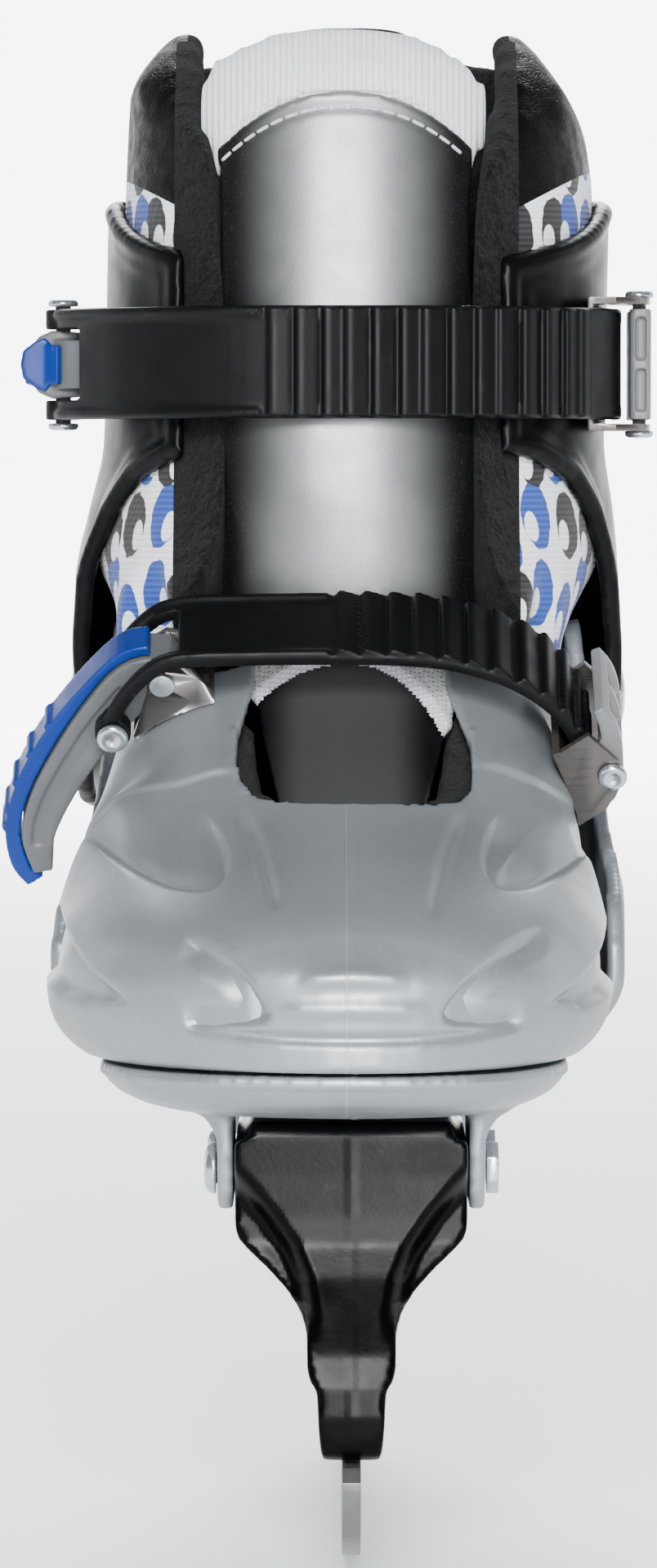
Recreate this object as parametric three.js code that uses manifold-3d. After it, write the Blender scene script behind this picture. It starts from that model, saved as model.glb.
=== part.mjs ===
// Size-adjustable ice skate for the right foot: a plastic boot with two ratchet-strap buckles on a hockey-style runner.
// Units are millimetres. +Z is up, the toe points along -Y, and +X is the inner (medial) side of the foot.
// The origin is the lowest point of the runner, at the middle of its length.

import * as THREE from "three";
import { mergeVertices } from "three/addons/utils/BufferGeometryUtils.js";
import Module from "manifold-3d";

const wasm = await Module();
wasm.setup();

// ---------------------------------------------------------------- driving dimensions

const GAP = 0.5; // clearance between neighbouring solids
const WALL = 3; // wall of the moulded shells

const RUNNER_HALF = 1.75;
const RUNNER_TOP = 26.5; // where the steel leaves the holder
const TANG_HALF = 1.35;
const TANG_TOP = 36;

const HOLDER_HALF = 22; // shoulder that sits between the flanges of the sole
const SOLE_BOTTOM = 91;
const SOLE_TOP = 100;
const SHELL_BOTTOM = 100.8;
const BULGE_Z = 116; // height at which the boot is widest

const FRAME_BOLT_Z = 80;
const FRAME_BOLT_Y = [-101, -74, 58, 92];
const FRAME_BOLT_NAMES = ["front_1", "front_2", "rear_1", "rear_2"];

const PIVOT_Y = 45; // ankle pivot of the cuff
const PIVOT_Z = 166;
const TOOTH_PITCH = 5.1;
const TOOTH_HEIGHT = 1.2;

// ---------------------------------------------------------------- helpers

const v2 = (list) => list.map(([a, b]) => new THREE.Vector2(a, b));

/** A closed geometry as a manifold-3d solid. */
function solid(geometry) {
  const bare = geometry.clone();
  for (const name of Object.keys(bare.attributes)) {
    if (name !== "position") bare.deleteAttribute(name);
  }
  const merged = mergeVertices(bare, 1e-4);
  const triVerts = new Uint32Array(merged.index.array);
  const vertProperties = merged.attributes.position.array;
  const made = new wasm.Manifold(new wasm.Mesh({ numProp: 3, vertProperties, triVerts }));
  if (made.volume() > 0) return made;
  for (let i = 0; i < triVerts.length; i += 3) {
    [triVerts[i + 1], triVerts[i + 2]] = [triVerts[i + 2], triVerts[i + 1]];
  }
  return new wasm.Manifold(new wasm.Mesh({ numProp: 3, vertProperties, triVerts }));
}

/** A manifold-3d solid as a geometry. */
function geometryOf(made) {
  const mesh = made.getMesh();
  const geometry = new THREE.BufferGeometry();
  geometry.setAttribute("position", new THREE.BufferAttribute(mesh.vertProperties, 3));
  geometry.setIndex(new THREE.BufferAttribute(mesh.triVerts, 1));
  return geometry;
}

const join = (first, ...rest) => rest.reduce((sum, one) => sum.add(one), first);
const cut = (first, ...rest) => rest.reduce((sum, one) => sum.subtract(one), first);

/** Straight-line interpolation in a table of [x, y] rows. */
function along(table, x) {
  if (x <= table[0][0]) return table[0][1];
  for (let i = 1; i < table.length; i++) {
    const [x0, y0] = table[i - 1];
    const [x1, y1] = table[i];
    if (x <= x1) return y0 + ((y1 - y0) * (x - x0)) / (x1 - x0);
  }
  return table[table.length - 1][1];
}

/** A solid through rings of equal point count, closed at both ends. */
function loft(rings) {
  const count = rings[0].length;
  const points = rings.flat();
  const index = [];
  for (let r = 0; r + 1 < rings.length; r++) {
    for (let i = 0; i < count; i++) {
      const a = r * count + i;
      const b = r * count + ((i + 1) % count);
      index.push(a, b, a + count, b, b + count, a + count);
    }
  }
  for (const end of [0, rings.length - 1]) {
    const middle = points.length;
    const ring = rings[end];
    points.push(ring.reduce((sum, p) => sum.add(p), new THREE.Vector3()).divideScalar(count));
    for (let i = 0; i < count; i++) {
      const a = end * count + i;
      const b = end * count + ((i + 1) % count);
      if (end === 0) index.push(b, a, middle);
      else index.push(a, b, middle);
    }
  }
  const geometry = new THREE.BufferGeometry().setFromPoints(points);
  geometry.setIndex(index);
  return solid(geometry);
}

/** An outline extruded along the third axis of the frame (first, second, third). */
function prism(outline, from, to, first, second, third) {
  const shape = new THREE.Shape(v2(outline));
  const geometry = new THREE.ExtrudeGeometry(shape, { depth: to - from, bevelEnabled: false });
  geometry.translate(0, 0, from);
  geometry.applyMatrix4(new THREE.Matrix4().makeBasis(first, second, third));
  return solid(geometry);
}

const X = new THREE.Vector3(1, 0, 0);
const Y = new THREE.Vector3(0, 1, 0);
const Z = new THREE.Vector3(0, 0, 1);
const BACK = new THREE.Vector3(0, -1, 0);
/** A (y, z) outline from x = from to x = to. */
const prismX = (outline, from, to) => prism(outline, from, to, Y, Z, X);
/** An (x, z) outline from y = from to y = to. */
const prismY = (outline, from, to) => prism(outline, -to, -from, X, Z, BACK);
/** An (x, y) outline from z = from to z = to. */
const prismZ = (outline, from, to) => prism(outline, from, to, X, Y, Z);

/** A straight round bar between two points. */
function bar(from, to, radius, sides = 16, toRadius = radius) {
  const a = new THREE.Vector3(...from);
  const b = new THREE.Vector3(...to);
  const axis = b.clone().sub(a);
  const geometry = new THREE.CylinderGeometry(toRadius, radius, axis.length(), sides);
  const turn = new THREE.Quaternion().setFromUnitVectors(Y, axis.clone().normalize());
  geometry.applyQuaternion(turn);
  const middle = a.add(b).multiplyScalar(0.5);
  return solid(geometry.translate(middle.x, middle.y, middle.z));
}

function block(x0, x1, y0, y1, z0, z1) {
  return prismZ([[x0, y0], [x1, y0], [x1, y1], [x0, y1]], z0, z1);
}

const skate = new THREE.Group();
const finish = {
  steel: { color: 0xb9bcc0, metalness: 1, roughness: 0.28 },
  darkSteel: { color: 0x77706a, metalness: 0.9, roughness: 0.35 },
  silver: { color: 0xa6abae, metalness: 0.15, roughness: 0.5 },
  black: { color: 0x1b1b1d, metalness: 0, roughness: 0.45 },
  blue: { color: 0x0d43a8, metalness: 0, roughness: 0.35 },
  lightGrey: { color: 0xa9a9a6, metalness: 0, roughness: 0.5 },
  grey: { color: 0x808387, metalness: 0, roughness: 0.5 },
  white: { color: 0xe9e9ee, metalness: 0, roughness: 0.9 },
  lining: { color: 0x161616, metalness: 0, roughness: 1 },
};

/** Adds a named mesh to a group. */
function add(group, name, made, look) {
  const mesh = new THREE.Mesh(geometryOf(made), new THREE.MeshStandardMaterial(finish[look]));
  mesh.name = name;
  group.add(mesh);
}

// ---------------------------------------------------------------- runner and its holder

const runnerProfile = [
  [-122, RUNNER_TOP], [-131, RUNNER_TOP], [-134, 24], [-133.5, 19], [-130, 14], [-124, 10.8], [-114, 8],
  [-100, 5.6], [-85, 3.4], [-70, 1.5], [-55, 0.4], [-42, 0], [45, 0], [62, 0.3], [78, 1.1], [95, 2.6],
  [107, 4.6], [114, 7.8], [117, 12], [117, 18], [114, RUNNER_TOP],
];
const TANG_FROM = -120;
const TANG_TO = 106;
const HOLLOW_RADIUS = 6;
const HOLLOW_DEPTH = 0.25;

function runner() {
  const blade = prismX(runnerProfile, -RUNNER_HALF, RUNNER_HALF);
  const tang = prismX(
    [[TANG_FROM, RUNNER_TOP - 1], [TANG_TO, RUNNER_TOP - 1], [TANG_TO, TANG_TOP], [TANG_FROM, TANG_TOP]],
    -TANG_HALF, TANG_HALF,
  );
  const hollow = bar(
    [0, -100, HOLLOW_DEPTH - HOLLOW_RADIUS], [0, 100, HOLLOW_DEPTH - HOLLOW_RADIUS], HOLLOW_RADIUS, 48,
  );
  return cut(join(blade, tang), hollow);
}

const RUNNER_BOLT_Z = 46.5;
const RUNNER_BOLT_Y = { front: -112, rear: 98 };
const RUNNER_BOLT_R = 2;
const RIVET_HEAD_R = 3.1;
const RIVET_SEAT = 6.5;
const RIVET_END = 8.2;
const FRAME_BOLT_R = 3;

// Side outline of the holder: two towers on one beam.
const holderSide = [
  [-127, 27.3], [-130, 31], [-130.5, 40], [-127, 50], [-121, 61], [-118, 73], [-117, 87], [-115, 90],
  [-60, 90], [-57, 87], [-57, 73], [-60, 61], [-56, 50], [-42, 43], [-20, 41], [10, 41], [28, 43],
  [42, 50], [47, 61], [44, 73], [44, 87], [46, 90], [106, 90], [109, 87], [110, 73], [112, 59],
  [112, 43], [110, 31], [107, 27.3],
];
// Front outline: the towers flare from the beam to the shoulder.
const holderHalfFront = [
  [5.6, 27.3], [6.4, 41], [8.2, 43], [8.3, 52], [12.5, 58.5], [19, 65], [HOLDER_HALF, 68.5],
  [HOLDER_HALF, 86], [19.4, 86.8], [18.8, 90.2],
];
const mirrored = (half) => [...half, ...half.map(([a, b]) => [-a, b]).reverse()];

function bladeHolder() {
  const body = prismX(holderSide, -40, 40).intersect(prismY(mirrored(holderHalfFront), -140, 140));
  const slotHalf = TANG_HALF + 0.35;
  const slot = prismX(
    [[TANG_FROM - 0.4, 20], [TANG_TO + 0.4, 20], [TANG_TO + 0.4, TANG_TOP + 0.4], [TANG_FROM - 0.4, TANG_TOP + 0.4]],
    -slotHalf, slotHalf,
  );
  const holes = FRAME_BOLT_Y.map((y) => bar([-40, y, FRAME_BOLT_Z], [40, y, FRAME_BOLT_Z], FRAME_BOLT_R + 0.4, 12));
  const small = Object.values(RUNNER_BOLT_Y).flatMap((y) => [
    bar([-20, y, RUNNER_BOLT_Z], [20, y, RUNNER_BOLT_Z], RUNNER_BOLT_R + 0.35, 12),
    bar([-20, y, RUNNER_BOLT_Z], [-RIVET_SEAT, y, RUNNER_BOLT_Z], RIVET_HEAD_R + 0.35, 12),
    bar([RIVET_SEAT, y, RUNNER_BOLT_Z], [20, y, RUNNER_BOLT_Z], RIVET_HEAD_R + 0.35, 12),
  ]);
  return cut(body, slot, ...holes, ...small);
}

add(skate, "runner", runner(), "steel");
add(skate, "blade_holder", bladeHolder(), "black");
for (const [place, y] of Object.entries(RUNNER_BOLT_Y)) {
  const z = RUNNER_BOLT_Z;
  const bolt = join(
    bar([-RIVET_END, y, z], [RIVET_END, y, z], RUNNER_BOLT_R, 12),
    bar([-RIVET_END, y, z], [-RIVET_SEAT - 0.1, y, z], RIVET_HEAD_R, 12),
    bar([RIVET_SEAT + 0.1, y, z], [RIVET_END, y, z], RIVET_HEAD_R, 12),
  );
  add(skate, `holder_rivet_${place}`, bolt, "steel");
}

// ---------------------------------------------------------------- boot sections
// Each section of the boot at a given y has a left and a right half width and a crown height.

const halfLeft = [
  [-138, 5], [-136.5, 14], [-133, 24], [-127, 35.5], [-118, 45.5], [-105, 53], [-88, 58], [-70, 58.6],
  [-50, 56.2], [-30, 52.6], [-12, 49], [5, 45.8], [25, 43.5], [45, 42.8], [62, 41], [78, 36.5],
  [90, 29.5], [98, 21], [103, 11], [105, 3],
];
const halfRight = [
  [-138, 5], [-136.5, 13.5], [-133, 22], [-127, 31.5], [-118, 39], [-105, 45.8], [-88, 49.8], [-70, 50.6],
  [-50, 49.2], [-30, 46.8], [-12, 44.2], [5, 43], [25, 42.3], [45, 42], [62, 40.4], [78, 36],
  [90, 29], [98, 20.5], [103, 11], [105, 3],
];
const crown = [
  [-138, 119], [-136.5, 123], [-133, 127], [-127, 130.5], [-118, 134], [-105, 138.5], [-90, 142.5],
  [-75, 148.5], [-60, 158.5], [-45, 169], [-30, 180], [-12, 196], [5, 212], [25, 230],
];
/** Roundness of the side walls: 2 is an ellipse, and more is squarer. */
const roundness = [[-138, 2.1], [-70, 2.15], [-40, 2.55], [-12, 3], [10, 4.5], [30, 7]];

const SIDE_POINTS = 8;

/** Closed (x, z) ring of the boot at y, moved in by inset, with its floor at floorZ. */
function bootRing(y, inset, floorZ, widen = [0, 0]) {
  const top = along(crown, y) - inset;
  const power = along(roundness, y);
  const half = [along(halfLeft, y) - inset + widen[0], along(halfRight, y) - inset + widen[1]];
  const side = (width) => {
    const points = [];
    for (const share of [0, 0.35, 0.75]) {
      const z = floorZ + share * (BULGE_Z - floorZ);
      points.push([width * (1 - 0.13 * (1 - share) ** 2), z]);
    }
    for (let i = 0; i < SIDE_POINTS; i++) {
      const angle = (i / SIDE_POINTS) * (Math.PI / 2);
      const x = width * Math.cos(angle) ** (2 / power);
      const z = BULGE_Z + (top - BULGE_Z) * Math.sin(angle) ** (2 / power);
      points.push([x, z]);
    }
    return points;
  };
  const right = side(Math.max(half[1], 1));
  const left = side(Math.max(half[0], 1)).map(([x, z]) => [-x, z]).reverse();
  return [...right, [0, top], ...left].map(([x, z]) => new THREE.Vector3(x, y, z));
}

/** The boot's solid between two stations, offset inwards. */
function bootBody(stations, inset, floorZ) {
  return loft(stations.map((y) => bootRing(y, inset, floorZ)));
}

const toeStations = [-138, -136.5, -133, -127, -118, -105, -88, -70, -50, -30, -12];
const TOE_BACK = -12;
const TOE_FLOOR = 2.4;

// Opening over the instep, seen from above: a wide U that is open at the back.
const throatCut = [
  [-18.5, 0], [-19, -38], [-22, -52], [-21, -66], [-14, -73], [0, -75], [16, -73], [23.5, -66], [23.5, -52],
  [19, -38], [18.5, 0],
];
// Side outline that trims the back of the toe shell: tall flaps beside the instep and low side walls.
const toeSide = [
  [-145, 90], [TOE_BACK, 90], [TOE_BACK, 128], [-16, 140], [-22, 158], [-28, 171], [-34, 173],
  [-42, 190], [-145, 190],
];

function toeShell() {
  const outer = bootBody(toeStations, 0, SHELL_BOTTOM);
  const inner = bootBody([...toeStations.slice(1).map((y) => y + WALL * 0.9), 4], WALL, SHELL_BOTTOM + TOE_FLOOR);
  const throat = prismZ(throatCut, 120, 220);
  return cut(outer, inner, throat).intersect(prismX(toeSide, -80, 80));
}

const soleLeft = [
  [-134, 14], [-131, 26], [-124, 36], [-112, 44], [-92, 48], [-65, 47], [-35, 41], [0, 34], [40, 33],
  [75, 33], [92, 28], [102, 18], [106, 8],
];
const soleRight = [
  [-134, 13], [-131, 23], [-124, 31], [-112, 37.5], [-92, 41.5], [-65, 41.5], [-35, 37], [0, 32], [40, 32],
  [75, 32], [92, 27], [102, 17], [106, 8],
];

/** Plan outline of the sole, moved in by inset. */
function soleOutline(inset) {
  const right = soleRight.map(([y, w]) => [w * (1 - inset / 48), y * (1 - inset / 160)]);
  const left = soleLeft.map(([y, w]) => [-w * (1 - inset / 48), y * (1 - inset / 160)]).reverse();
  return [...right, ...left];
}

const FLANGE_INNER = HOLDER_HALF + 0.4;
const FLANGE_OUTER = FLANGE_INNER + 3;
const FLANGE_SPANS = [[-112, -62], [47, 103]];

function solePlate() {
  const rim = (inset, z) => soleOutline(inset).map(([x, y]) => new THREE.Vector3(x, y, z));
  const plate = loft([rim(16, SOLE_BOTTOM), rim(8, SOLE_BOTTOM + 1), rim(2, SOLE_BOTTOM + 4), rim(0, SOLE_TOP - 2), rim(0, SOLE_TOP)]);
  let made = plate;
  for (const [front, back] of FLANGE_SPANS) {
    const flange = [[front, 95], [front + 2, 75], [front + 6, 72.5], [back - 6, 72.5], [back - 2, 75], [back, 95]];
    made = join(made, prismX(flange, -FLANGE_OUTER, -FLANGE_INNER), prismX(flange, FLANGE_INNER, FLANGE_OUTER));
  }
  const holes = FRAME_BOLT_Y.map((y) => bar([-40, y, FRAME_BOLT_Z], [40, y, FRAME_BOLT_Z], FRAME_BOLT_R + 0.4, 12));
  return cut(made, ...holes);
}

add(skate, "sole_plate", solePlate(), "silver");
FRAME_BOLT_Y.forEach((y, i) => {
  const z = FRAME_BOLT_Z;
  const head = FLANGE_OUTER + 0.3;
  const bolt = join(
    bar([-head, y, z], [head - 1, y, z], FRAME_BOLT_R, 12),
    bar([-head - 2.2, y, z], [-head, y, z], 4.4, 16, 5),
  );
  const nutTurned = cut(bar([head, y, z], [head + 2.4, y, z], 5, 6), bar([head - 1, y, z], [head + 3, y, z], 2.4, 12));
  add(skate, `frame_bolt_${FRAME_BOLT_NAMES[i]}`, bolt, "steel");
  add(skate, `frame_nut_${FRAME_BOLT_NAMES[i]}`, nutTurned, "steel");
});

// ---------------------------------------------------------------- rear shell

const REAR_GAP = 0.7; // the rear shell wraps round the outside of the toe shell
const rearStations = [-44, -30, -12, 5, 25, 45, 62, 78, 90, 98, 103, 105];
const widenRight = [[-44, 1.5], [-20, 5], [-5, 5], [10, 2], [25, 1], [60, 0.5], [105, 0]];
const widenLeft = [[-44, 0], [5, 0.5], [60, 0.5], [105, 0]];
const rearWiden = (y) => [along(widenLeft, y), along(widenRight, y)];
const rearSide = [
  [-44, 90], [-44, 118], [-38, 127], [-24, 134], [-8, 146], [4, 164], [12, 178], [22, 182], [34, 178],
  [48, 176], [70, 178], [90, 180], [104, 178], [105, 165], [109, 140], [110, 115], [108, 90],
];

// Size latch: a push button in the outer side wall, with its stem in the slot of the toe shell's arm.
const LATCH_Y = 14;
const LATCH_Z = 114;
const LATCH_R = 6;
const LATCH_TRAVEL = 2.5;
const STEM_R = 1.8;
const ARM_X = [-40.8, -38.6];

function rearShell() {
  const grown = (stations, inset, floorZ) =>
    loft(stations.map((y) => bootRing(y, inset, floorZ, rearWiden(y))));
  const outer = grown(rearStations.map((y) => (y > 60 ? y + (y - 60) * 0.08 : y)), -REAR_GAP - WALL, SHELL_BOTTOM);
  const inner = grown([-60, ...rearStations.slice(0, -1)], -REAR_GAP, SHELL_BOTTOM + TOE_FLOOR);
  const floorRelief = bootBody([-60, -44, -30, TOE_BACK + 2], -REAR_GAP, SHELL_BOTTOM - 4);
  const made = cut(outer, inner, floorRelief).intersect(prismX(rearSide, -80, 80));
  const pivots = bar([-80, PIVOT_Y, PIVOT_Z], [80, PIVOT_Y, PIVOT_Z], 4, 16);
  const button = bar([-80, LATCH_Y, LATCH_Z], [0, LATCH_Y, LATCH_Z], STEM_R + 0.4, 12);
  return cut(made, pivots, button);
}

add(skate, "rear_shell", rearShell(), "silver");

const toe = new THREE.Group();
skate.add(toe);

/** The toe shell with the slotted arm that runs back inside the rear shell. */
function toeShellWithArm() {
  const arm = block(ARM_X[0], ARM_X[1], -20, 40, 109, 119);
  const root = block(-52, ARM_X[1], -20, -15, 109, 119).intersect(bootBody(toeStations, 0.4, SHELL_BOTTOM));
  const slot = join(
    block(-50, -30, LATCH_Y - 0, LATCH_Y + 20, LATCH_Z - STEM_R - 0.3, LATCH_Z + STEM_R + 0.3),
    ...[0, 1, 2, 3].map((step) => {
      const y = LATCH_Y + (step * 20) / 3;
      return bar([-50, y, LATCH_Z], [-30, y, LATCH_Z], 3, 16);
    }),
  );
  return cut(join(toeShell(), arm, root), slot);
}

add(toe, "toe_shell", toeShellWithArm(), "silver");

const button = new THREE.Group();
skate.add(button);
const wallAtLatch = -(along(halfLeft, LATCH_Y) + rearWiden(LATCH_Y)[0] + REAR_GAP + WALL);
const latchButton = join(
  bar([wallAtLatch - 5.2, LATCH_Y, LATCH_Z], [wallAtLatch - LATCH_TRAVEL - 0.9, LATCH_Y, LATCH_Z], LATCH_R - 0.8, 20, LATCH_R),
  bar([wallAtLatch - 4, LATCH_Y, LATCH_Z], [ARM_X[1] + 0.4, LATCH_Y, LATCH_Z], STEM_R, 12),
);
add(button, "size_button", latchButton, "grey");

// ---------------------------------------------------------------- leg sections
// Each horizontal section above the ankle has half widths and front and back limits.

const legLeft = [
  [120, 50], [150, 56], [166, 56], [178, 57], [190, 57], [205, 54], [219, 51], [245, 50.5], [268, 50], [290, 49], [312, 46],
];
const legRight = [
  [120, 50], [150, 55.5], [166, 55.5], [178, 56], [190, 56], [205, 54.8], [219, 53], [245, 53.5], [268, 54], [290, 51], [312, 46],
];
const legFront = [
  [120, -90], [150, -68], [170, -50], [190, -36.5], [205, -29], [219, -25.5], [245, -22], [268, -19], [312, -13],
];
const legBack = [
  [120, 112], [150, 115], [178, 113.5], [190, 109], [205, 104], [219, 101], [245, 98], [268, 96], [312, 93],
];
const LEG_POWER = 2.6;
const LEG_POINTS = 7; // per quarter turn
const legHeights = [120, 150, 166, 178, 190, 205, 219, 245, 268, 290, 312];

function legRing(z, inset) {
  const front = along(legFront, z) + inset;
  const back = along(legBack, z) - inset;
  const ring = [];
  for (let i = 0; i < 4 * LEG_POINTS; i++) {
    const angle = (i / LEG_POINTS) * (Math.PI / 2);
    const c = Math.cos(angle);
    const s = Math.sin(angle);
    const half = along(c > 0 ? legRight : legLeft, z) - inset;
    const x = half * Math.sign(c) * Math.abs(c) ** (2 / LEG_POWER);
    const depth = (back - front) / 2;
    const y = (front + back) / 2 + depth * Math.sign(s) * Math.abs(s) ** (2 / LEG_POWER);
    ring.push(new THREE.Vector3(x, y, z));
  }
  return ring;
}

const legBody = (inset, from = 120, to = 312) =>
  loft([from, ...legHeights.filter((z) => z > from + 2 && z < to - 2), to].map((z) => legRing(z, inset)));

// ---------------------------------------------------------------- liner, insole and tongue

/** Narrowing of the foot liner that keeps it clear of the toe shell over the whole size range. */
const SIZE_RANGE = 20;
const narrowing = (y) =>
  [halfLeft, halfRight].map((half) => Math.min(along(half, y), along(half, y + SIZE_RANGE)) - along(half, y));
const linerStations = [-112, -108, -100, -88, -70, -50, -30, -12, 5, 25, 45, 62, 78, 88, 96, 99];
const LINER_FLOOR = 107.8;
const LINER_WALL = 6;
const LINER_SPLIT = 160; // the foot part ends here and the ankle part starts above it

function footLiner() {
  const ringAt = (y, extra) =>
    bootRing(y, WALL + 1 + extra, LINER_FLOOR + extra * 0.4, y < -10 ? narrowing(y) : [0, 0]);
  const outer = loft(linerStations.map((y) => ringAt(y, y < -110 ? 14 : 0)));
  const inner = loft(linerStations.slice(1, -1).map((y) => ringAt(y, LINER_WALL)));
  const throat = prismZ([[-15, 20], [-17, -30], [-16, -60], [-10, -70], [0, -72.5], [10, -70], [16, -60], [17, -30], [15, 20]], 128, 240);
  const side = [[-130, 100], [-130, 190], [-60, 150], [-34, LINER_SPLIT], [105, LINER_SPLIT], [105, 100]];
  const latchPocket = block(-60, -33.5, -44, 44, 106, 122);
  return cut(outer, inner, throat, latchPocket).intersect(prismX(side, -80, 80));
}

function insole() {
  const outline = soleOutline(7).filter(([, y]) => y > -113 && y < 100);
  return prismZ(outline, SHELL_BOTTOM + TOE_FLOOR + 0.8, LINER_FLOOR - 0.4);
}

add(skate, "insole", insole(), "white");
add(skate, "liner_foot", footLiner(), "white");

const cuffBody = new THREE.Group();
skate.add(cuffBody);
const CUFF_WALL = 3;
const LINER_GAP = CUFF_WALL + 0.6;

const LINER_IN_SHELL = 1.2; // inward offset of the ankle liner where it stands inside the rear shell
const rivetRoom = join(...[-1, 1].map((way) =>
  bar([way * 38.4, PIVOT_Y, PIVOT_Z], [way * 70, PIVOT_Y, PIVOT_Z], 6.5, 16),
));

function ankleLiner() {
  const made = cut(legBody(LINER_GAP, 150), legBody(LINER_GAP + 9.5, 130, 311.9));
  const side = [
    [14, 186], [24, 172], [45, 164], [80, 166], [112, 170], [112, 298], [100, 306], [84, 310.6], [66, 306],
    [50, 299], [40, 306], [30, 306], [18, 298], [6, 286], [-14, 278], [-30, 264], [-30, 216], [-12, 205],
  ];
  const front = prismY([[-26, 140], [26, 140], [26, 320], [-26, 320]], -60, 20);
  const inShell = rearStations.map((y) => [along(halfRight, y) - LINER_IN_SHELL, y]);
  const inShellLeft = rearStations.map((y) => [LINER_IN_SHELL - along(halfLeft, y), y]).reverse();
  const tube = prismZ([...inShell.slice(0, -2), ...inShellLeft.slice(2)], 150, 186.4);
  const above = block(-80, 80, -80, 130, 186, 320);
  const trimmed = made.intersect(join(tube, above)).intersect(prismX(side, -80, 80));
  return cut(trimmed, front, rivetRoom);
}

const TONGUE_HALF = 27.5;
const UPPER_TONGUE_FROM = 203;

function tonguePad() {
  const made = cut(legBody(3.2, UPPER_TONGUE_FROM - 6, 307), legBody(12, 190, 311));
  const dome = [
    [-24, UPPER_TONGUE_FROM], [24, UPPER_TONGUE_FROM], [25, 272], [24.5, 286], [20, 295.5], [12, 301],
    [0, 303], [-12, 301], [-20, 295.5], [-24.5, 286], [-25, 272],
  ];
  return made.intersect(prismY(dome, -60, 14));
}

function tongueShield() {
  const made = cut(legBody(0.4, UPPER_TONGUE_FROM - 6, 300), legBody(2.7, 190, 311));
  const face = [
    [-24, UPPER_TONGUE_FROM], [24, UPPER_TONGUE_FROM], [TONGUE_HALF, 215], [TONGUE_HALF, 264], [24, 278],
    [12, 285.5], [0, 288.5], [-12, 285.5], [-24, 278], [-TONGUE_HALF, 264], [-TONGUE_HALF, 215],
  ];
  return made.intersect(prismY(face, -60, 0));
}

function lowerTongue() {
  const stations = [-76, -68, -60, -45, -30, -18];
  const ringAt = (y, drop) => bootRing(y, drop, 113);
  const outer = loft(stations.map((y) => ringAt(y, 1.6)));
  const inner = loft([-90, ...stations.slice(1), -10].map((y) => ringAt(y, 6.4)));
  const plan = [[-13.5, -10], [-14, -50], [-13, -62], [-7, -69], [0, -70.5], [7, -69], [13, -62], [14, -50], [13.5, -10]];
  return cut(outer, inner).intersect(prismZ(plan, 122, 193));
}

add(skate, "tongue_lower", lowerTongue(), "grey");
add(cuffBody, "liner_ankle", ankleLiner(), "lining");
add(cuffBody, "tongue_pad", tonguePad(), "white");
add(cuffBody, "tongue_shield", tongueShield(), "silver");

// ---------------------------------------------------------------- cuff

function cuff() {
  const side = [
    [14, 162], [22, 150], [34, 143], [60, 142], [112, 152], [120, 160], [120, 262], [70, 270], [24, 268],
    [6, 261], [-10, 256], [-24, 250], [-24, 210], [-8, 206], [2, 196], [8, 180],
  ];
  const body = cut(legBody(0, 135, 290), legBody(CUFF_WALL, 125, 300)).intersect(prismX(side, -80, 80));
  const bosses = [-1, 1].map((way) =>
    bar([way * 48.4, PIVOT_Y, PIVOT_Z], [way * 54, PIVOT_Y, PIVOT_Z], 9, 20),
  );
  const front = prismY([[-33.5, 190], [30.5, 190], [30.5, 275], [-33.5, 275]], -60, 30);
  const hole = bar([-80, PIVOT_Y, PIVOT_Z], [80, PIVOT_Y, PIVOT_Z], 4, 16);
  return cut(join(body, ...bosses), front, hole);
}

add(cuffBody, "cuff", cuff(), "black");
const RIVET_HEAD_IN = 41;
const RIVET_DOME = { left: 56.5, right: 56 };
for (const [place, way] of [["left", -1], ["right", 1]]) {
  const dome = RIVET_DOME[place];
  const rivet = join(
    bar([way * RIVET_HEAD_IN, PIVOT_Y, PIVOT_Z], [way * dome, PIVOT_Y, PIVOT_Z], 3.6, 16),
    bar([way * (dome - 0.1), PIVOT_Y, PIVOT_Z], [way * (dome + 2), PIVOT_Y, PIVOT_Z], 7, 20, 4.5),
    bar([way * (RIVET_HEAD_IN - 2), PIVOT_Y, PIVOT_Z], [way * RIVET_HEAD_IN, PIVOT_Y, PIVOT_Z], 5, 16),
  );
  add(skate, `cuff_rivet_${place}`, rivet, "steel");
}

// ---------------------------------------------------------------- buckles
// Both buckles are flat mechanisms. "a" runs along +X, "b" points out of the boot, and "w" runs along the pins.

const slope = THREE.MathUtils.degToRad(32);
const PLANES = {
  upper: { origin: [0, 0, 234.6], out: [0, -1, 0], pins: [0, 0, 1] },
  instep: {
    origin: [0, -45, 182.5],
    out: [0, -Math.sin(slope), Math.cos(slope)],
    pins: [0, Math.cos(slope), Math.sin(slope)],
  },
};

/** Tools that build solids in a buckle's own plane. */
function planeTools({ origin, out, pins }) {
  const o = new THREE.Vector3(...origin);
  const n = new THREE.Vector3(...out);
  const u = new THREE.Vector3(...pins);
  const flat = (outline, from, to) => prism(outline, -to, -from, X, n, u.clone().negate()).translate([o.x, o.y, o.z]);
  const at = (a, b, w) => o.clone().addScaledVector(X, a).addScaledVector(n, b).addScaledVector(u, w).toArray();
  const pin = ([a, b], from, to, radius, sides = 12) => bar(at(a, b, from), at(a, b, to), radius, sides);
  return { flat, pin };
}

/** A closed outline of varying half thickness along a path of [a, b, half] rows. */
function ribbon(path, grow = 0) {
  const left = [];
  const right = [];
  path.forEach(([a, b, half], i) => {
    const [a0, b0] = path[Math.max(i - 1, 0)];
    const [a1, b1] = path[Math.min(i + 1, path.length - 1)];
    const length = Math.hypot(a1 - a0, b1 - b0);
    const na = (-(b1 - b0) / length) * (half + grow);
    const nb = ((a1 - a0) / length) * (half + grow);
    left.push([a + na, b + nb]);
    right.push([a - na, b - nb]);
  });
  return [...left, ...right.reverse()];
}

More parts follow.
